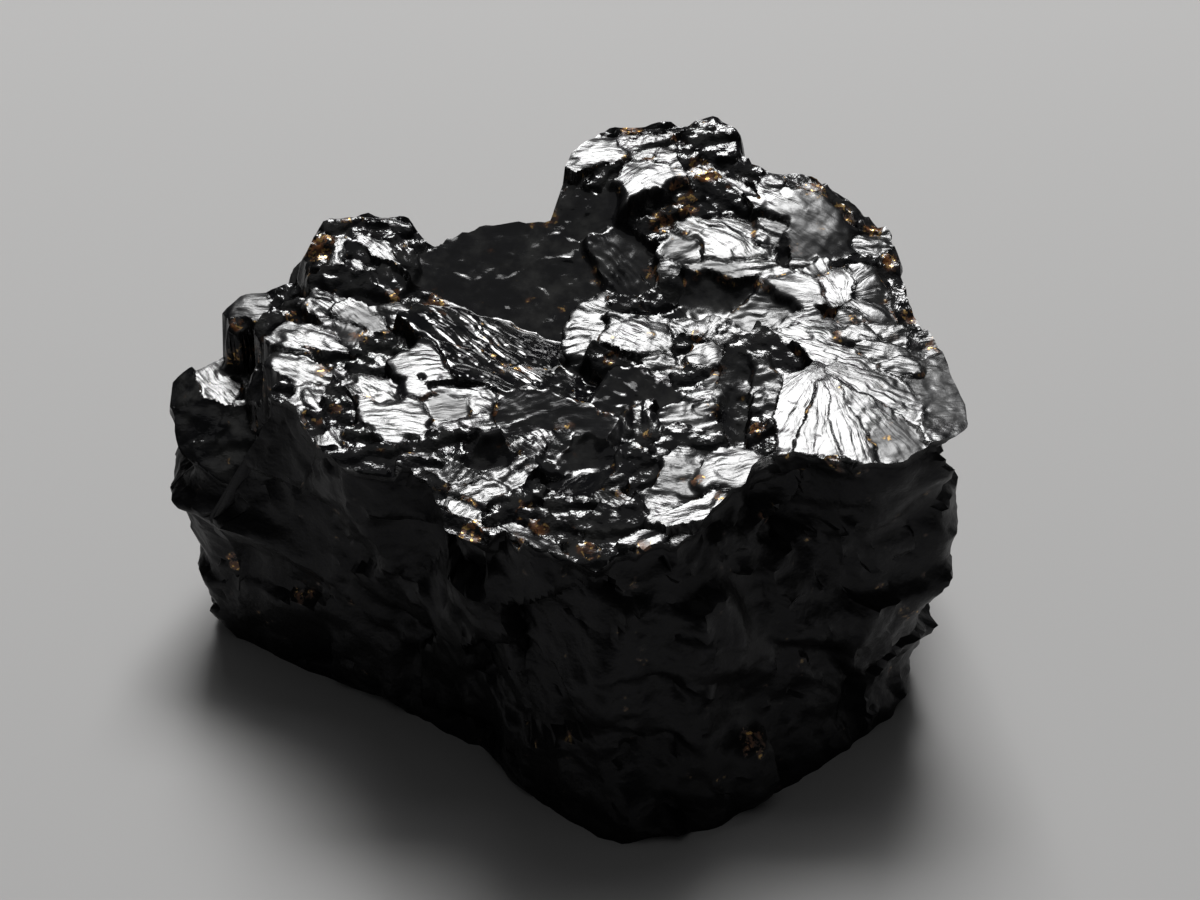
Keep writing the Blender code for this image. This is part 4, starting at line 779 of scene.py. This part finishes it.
def filled(ring, spacing, patches=()):
    """Points on an even grid inside the ring, finer in the patches, and triangles that join them with it."""
    x, y = even_points(ring, spacing)
    fine_x, fine_y = even_points(ring, FINE_SPACING)
    coarse, fine = ~in_patches(x, y, patches), in_patches(fine_x, fine_y, patches)
    x, y = np.concatenate([x[coarse], fine_x[fine]]), np.concatenate([y[coarse], fine_y[fine]])
    angles, far = from_hub(x, y)
    inside = far < np.interp(angles, *from_hub(*ring[:, :2].T), period=math.tau) - 0.6 * spacing
    inner = np.column_stack([x[inside], y[inside]])
    points = [tuple(point) for point in np.concatenate([ring[:, :2], inner])]
    made = delaunay_2d_cdt(points, [], [list(range(len(ring)))], 1, 1e-7)
    return inner, [tuple(face) for face in made[2]]


def nearness(points, spots):
    """How close each point is to the nearest of these spots: 1 in its middle, 0 from its edge outwards."""
    result = np.zeros(len(points))
    for x, y, z, radius in spots:
        away = np.linalg.norm(points - (x, y, z), axis=1) / radius
        result = np.maximum(result, 1 - away)
    return result


def side_marks(points):
    """The marks of the sides and the underside, in the same columns as top_surface's."""
    flat = 0 * points[:, 0]
    return np.column_stack([points[:, :2] * SIDE_GRAIN_SCALE, flat + SIDE_GRAIN, flat + SIDE_ROUGH, flat])


def loft(row_count, count):
    """Triangles between rows of points that run round the stone, from the first row down to the last."""
    faces = []
    for row in range(row_count - 1):
        for column in range(count):
            after = (column + 1) % count
            upper, lower = row * count, (row + 1) * count
            faces.append((upper + column, lower + column, lower + after))
            faces.append((upper + column, lower + after, upper + after))
    return faces


def renumbered(faces, ring_start, ring_count, inner_start):
    """A filled ring's faces. Its own points count from ring_start, and those inside it from inner_start."""
    shifts = ring_start, inner_start - ring_count
    return [tuple(corner + shifts[corner >= ring_count] for corner in face) for face in faces]


def stone_shape():
    """The stone's points and faces, the marks of each point, and how far it belongs to the sides.

    The top and the underside are filled outlines, and the sides are a loft between them.
    """
    angles = rim_angles(SIDE_SPACING)
    rows = side_points(angles, SIDE_SPACING)
    count = len(angles)
    sides = np.concatenate(rows)
    marked = side_marks(sides)
    marked[:count] = top_surface(rows[0][:, 0], rows[0][:, 1])[1]
    on_side = np.clip((np.tile(rows[0][:, 2], len(rows)) - sides[:, 2]) / RIM_FADE, 0, 1)

    inner, top_faces = filled(rows[0], TOP_SPACING, FINE_PATCHES)
    height, top_marks = top_surface(inner[:, 0], inner[:, 1])
    top = np.column_stack([inner, height])
    x, y, z = top.T / CLIFF_PITCH
    top = top + CLIFF_CHIPS * np.column_stack([noise(x, y, z, 16), noise(x, y, z, 17), 0 * z])

    inner, base_faces = filled(rows[-1], BASE_SPACING)
    base = np.column_stack([inner, base_height(inner[:, 0], inner[:, 1])])

    points = np.concatenate([sides, top, base])
    marks = np.concatenate([marked, top_marks, side_marks(inner)])
    side = np.concatenate([on_side, np.zeros(len(top)), np.ones(len(base))])
    faces = loft(len(rows), count) + renumbered(top_faces, 0, count, len(sides))
    base_faces = [tuple(reversed(face)) for face in base_faces]
    faces += renumbered(base_faces, len(sides) - count, count, len(sides) + len(top))
    return points, faces, marks, side


def rustiness(points, edge):
    """How rusty each point is: in the patches of RUST, and here and there in the seams between facets."""
    x, y, z = points.T / 1.6
    patchy = np.clip(noise(x, y, z, 22) + 0.8 * noise(3 * x, 3 * y, 3 * z, 24) + 0.3, 0, 1)
    return np.maximum(nearness(points, RUST), SEAM_RUST * edge * patchy)


def stone_mesh(name):
    """The closed mesh. What its points are marked with is stored for the material."""
    points, faces, marks, side = stone_shape()
    across, along, grainy, rough, edge = marks.T
    placed = (points - (MIDDLE[0], MIDDLE[1], 0)) * MM
    low, high = np.array(cad_box)
    mesh = bpy.data.meshes.new(name)
    mesh.from_pydata(np.clip(placed, low, high), [], faces)
    mesh.shade_smooth()
    mesh.set_sharp_from_angle(angle=math.radians(CREASE))
    normals = np.empty(len(points) * 3)
    mesh.vertices.foreach_get("normal", normals)
    steep = np.clip((STEEP - normals[2::3]) / STEEP_FADE, 0, 1)
    grain_place = np.column_stack([across, along, points[:, 2]])
    mesh.attributes.new("grain", "FLOAT_VECTOR", "POINT").data.foreach_set("vector", grain_place.ravel())
    stored = {
        "rust": rustiness(points, edge),
        "satin": nearness(points, SATIN),
        "side": np.maximum(side, steep),
        "graininess": grainy,
        "crumbly": np.clip(rough / CRUMBLY_FACE, 0.1, 1),
    }
    for kind, values in stored.items():
        mesh.attributes.new(kind, "FLOAT", "POINT").data.foreach_set("value", np.ascontiguousarray(values))
    return mesh


class Nodes:
    """Short ways to add and join a material's nodes."""

    def __init__(self, name):
        self.material = bpy.data.materials.new(name)
        self.material.use_nodes = True
        self.tree = self.material.node_tree
        self.surface = self.tree.nodes["Principled BSDF"]

    def add(self, kind, settings=None, values=(), **inputs):
        """A new node. Its sockets take the values in order, or the inputs by name."""
        node = self.tree.nodes.new(kind)
        for key, value in (settings or {}).items():
            setattr(node, key, value)
        for socket, value in zip(node.inputs, values):
            self.put(socket, value)
        for key, value in inputs.items():
            self.put(node.inputs[key.replace("_", " ")], value)
        return node

    def put(self, socket, value):
        if isinstance(value, bpy.types.NodeSocket):
            self.tree.links.new(value, socket)
        else:
            socket.default_value = value

    def math(self, operation, first, second):
        return self.add("ShaderNodeMath", {"operation": operation}, (first, second)).outputs[0]

    def spread(self, value, low, high, to_low=0.0, to_high=1.0):
        """The value from low to high, turned smoothly into to_low to to_high."""
        settings = {"interpolation_type": "SMOOTHSTEP"}
        return self.add("ShaderNodeMapRange", settings, (value, low, high, to_low, to_high)).outputs[0]

    def blend(self, share, first, second):
        """One colour turning into another."""
        node = self.add("ShaderNodeMix", {"data_type": "RGBA"})
        for socket, value in ((node.inputs[0], share), (node.inputs[6], first), (node.inputs[7], second)):
            self.put(socket, value)
        return node.outputs[2]

    def mark(self, name, output="Fac"):
        """What the mesh's points are marked with under this name."""
        return self.add("ShaderNodeAttribute", {"attribute_name": name}).outputs[output]

    def clouds(self, place, scale, detail=2.0, roughness=0.5):
        node = self.add("ShaderNodeTexNoise", Vector=place, Scale=scale, Detail=detail, Roughness=roughness)
        return node.outputs["Fac"]


# The colours of the material.
BLACK = (0.005, 0.005, 0.006, 1)
GREY_BLOOM = (0.030, 0.030, 0.029, 1)
# The sides' black is partly a duller surface and partly painted shade, which darkens them.
DULL_SHADED_BLACK = (0.022, 0.022, 0.023, 1)
DARK_RUST = (0.045, 0.018, 0.008, 1)
ORANGE_RUST = (0.20, 0.075, 0.022, 1)
GOLD = (0.95, 0.62, 0.22, 1)
# How many features of each kind of noise there are to a metre.
BLOOMS = 520.0
RUST_PATCHES = 700.0
RUST_SHADES = 1300.0
RUST_CRUMBS = 2100.0
GOLD_SPECKS = 3300.0
GLOSS_PATCHES = 420.0
PITS = 2400.0
# How many fine lines there are to a mm across the grain, along it and upwards.
GRAIN_LINES = (2.6, 0.4, 1.6)
# The roughness of the glassiest places, from and to, and what is added to it.
GLASSY = (0.02, 0.08)
GRAINY_ROUGHNESS = 0.21
SATIN_ROUGHNESS = 0.14
SIDE_ROUGHNESS = 0.18
RUST_ROUGHNESS = 0.2
# How high the fine lines and the tiny pits are, in metres.
LINE_HEIGHT = 0.000055
PIT_HEIGHT = 0.00007


def black(made, place, side):
    """Black, with a grey bloom in places on the top."""
    tone = made.clouds(place, BLOOMS, 5.0, 0.65)
    bloom = made.math("MULTIPLY", made.spread(tone, 0.42, 0.72), made.math("SUBTRACT", 1.0, side))
    return made.blend(bloom, BLACK, GREY_BLOOM)


def rusty(made, place, colour):
    """The colour with rust in its patches, broken up by noise, and how far rust and gold cover it."""
    edge = made.clouds(place, RUST_PATCHES, 2.0)
    cover = made.math("MULTIPLY", made.math("SUBTRACT", edge, 0.5), 1.6)
    cover = made.math("ADD", made.mark("rust"), cover)
    crumbs = made.clouds(place, RUST_CRUMBS, 3.0, 0.65)
    cover = made.math("MULTIPLY", made.spread(cover, 0.25, 0.5), made.spread(crumbs, 0.43, 0.53))
    shade = made.spread(made.clouds(place, RUST_SHADES), 0.4, 0.62)
    colour = made.blend(cover, colour, made.blend(shade, DARK_RUST, ORANGE_RUST))
    gold = made.math("MULTIPLY", cover, made.spread(made.clouds(place, GOLD_SPECKS, 1.0), 0.58, 0.63))
    return made.blend(gold, colour, GOLD), cover, gold


def gloss(made, place, side, cover):
    """The roughness: glassy, and duller where it is grainy or satin, on the sides and in the rust."""
    kinds = (
        (made.mark("graininess"), GRAINY_ROUGHNESS),
        (made.spread(made.mark("satin"), 0.0, 0.35), SATIN_ROUGHNESS),
        (side, SIDE_ROUGHNESS),
        (cover, RUST_ROUGHNESS),
    )
    rough = made.spread(made.clouds(place, GLOSS_PATCHES, 3.0), 0.3, 0.75, *GLASSY)
    for share, more in kinds:
        rough = made.math("ADD", rough, made.math("MULTIPLY", share, more))
    return rough


def fine_relief(made, place):
    """Fine lines along the grain, and tiny pits and grains."""
    sizes = made.mark("grain", "Vector"), GRAIN_LINES
    lines = made.add("ShaderNodeVectorMath", {"operation": "MULTIPLY"}, sizes)
    streaks = made.clouds(lines.outputs[0], 1.0, 3.0, 0.55)
    pits = made.clouds(place, PITS, 3.0, 0.65)
    grainy, crumbly = (made.mark(name) for name in ("graininess", "crumbly"))
    grains = made.add("ShaderNodeBump", Strength=grainy, Distance=LINE_HEIGHT, Height=streaks)
    grains = grains.outputs["Normal"]
    fine = made.add("ShaderNodeBump", Strength=crumbly, Distance=PIT_HEIGHT, Height=pits, Normal=grains)
    return fine.outputs["Normal"]


def shungite_material():
    made = Nodes("shungite")
    place = made.add("ShaderNodeTexCoord").outputs["Object"]
    side = made.mark("side")
    colour, cover, gold = rusty(made, place, black(made, place, side))
    # The sides are a dull metallic black, so that they mirror less than the top: partly a duller surface,
    # and partly painted shade that keeps them as dark as sides turned away from the light.
    dull_shaded = made.math("MULTIPLY", side, made.math("SUBTRACT", 1.0, cover))
    made.put(made.surface.inputs["Base Color"], made.blend(dull_shaded, colour, DULL_SHADED_BLACK))
    made.put(made.surface.inputs["Metallic"], made.math("MAXIMUM", gold, dull_shaded))
    made.put(made.surface.inputs["Roughness"], gloss(made, place, side, cover))
    made.put(made.surface.inputs["Normal"], fine_relief(made, place))
    made.surface.inputs["IOR"].default_value = 1.8
    return made.material


def stone():
    mesh = stone_mesh("stone")
    mesh.materials.append(shungite_material())
    piece = bpy.data.objects.new("stone", mesh)
    bpy.context.scene.collection.objects.link(piece)
    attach(piece, "root")
    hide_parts(NODE)


# The studio. Its lengths are in metres.
VIEW_HEIGHT = 40.0
VIEW_DISTANCE = 0.178
VIEW_LENS = 85.0
SENSOR_WIDTH = 36.0
NEAREST_SEEN = 0.005
VIEW_AT = Vector((-MIDDLE[0] * MM, -MIDDLE[1] * MM, 0.012))
FLOOR_SIZE = 3.0
FLOOR_COLOURS = ((0.55, 0.545, 0.54, 1), (0.585, 0.58, 0.575, 1))
FLOOR_CLOUDS = 6.0
WORLD_COLOUR = (0.9, 0.92, 0.95, 1)
WORLD_STRENGTH = 0.02

# A rectangular soft light behind the stone: its height over it in degrees, its distance, its width
# and depth, and its power in watts.
Light = namedtuple("Light", "name height distance size power")
LIGHTS = (
    Light("window", 56, 0.6, (0.25, 0.21), 2.5),
    Light("sky round the window", 56, 0.61, (0.36, 0.40), 0.9),
    Light("ceiling", 80, 1.0, (1.8, 1.4), 0.6),
)


def floor():
    bpy.ops.mesh.primitive_plane_add(size=FLOOR_SIZE)
    plane = bpy.context.object
    plane.name = "floor"
    made = Nodes("pale floor")
    place = made.add("ShaderNodeTexCoord").outputs["Object"]
    tone = made.blend(made.clouds(place, FLOOR_CLOUDS), *FLOOR_COLOURS)
    made.put(made.surface.inputs["Base Color"], tone)
    made.surface.inputs["Roughness"].default_value = 0.9
    made.surface.inputs["Specular IOR Level"].default_value = 0.1
    plane.data.materials.append(made.material)


def aimed(name, data, way, distance):
    """A new object with this data, which looks at the stone from this way and distance."""
    item = bpy.data.objects.new(name, data)
    bpy.context.scene.collection.objects.link(item)
    item.location = VIEW_AT + way * distance
    item.rotation_euler = way.to_track_quat("Z", "Y").to_euler()
    return item


def soft_light(light):
    data = bpy.data.lights.new(light.name, "AREA")
    data.shape = "RECTANGLE"
    data.size, data.size_y = light.size
    data.energy = light.power
    lift = math.radians(light.height)
    aimed(light.name, data, Vector((0, math.cos(lift), math.sin(lift))), light.distance)


def camera():
    data = bpy.data.cameras.new("camera")
    data.lens = VIEW_LENS
    data.sensor_width = SENSOR_WIDTH
    data.clip_start = NEAREST_SEEN
    lift = math.radians(VIEW_HEIGHT)
    way = Vector((0, -math.cos(lift), math.sin(lift)))
    bpy.context.scene.camera = aimed("camera", data, way, VIEW_DISTANCE)


def world():
    around = bpy.data.worlds.new("studio")
    around.use_nodes = True
    background = around.node_tree.nodes["Background"]
    background.inputs["Color"].default_value = WORLD_COLOUR
    background.inputs["Strength"].default_value = WORLD_STRENGTH
    bpy.context.scene.world = around
    bpy.context.scene.view_settings.view_transform = "Standard"


def studio():
    floor()
    for light in LIGHTS:
        soft_light(light)
    world()
    camera()


stone()
studio()
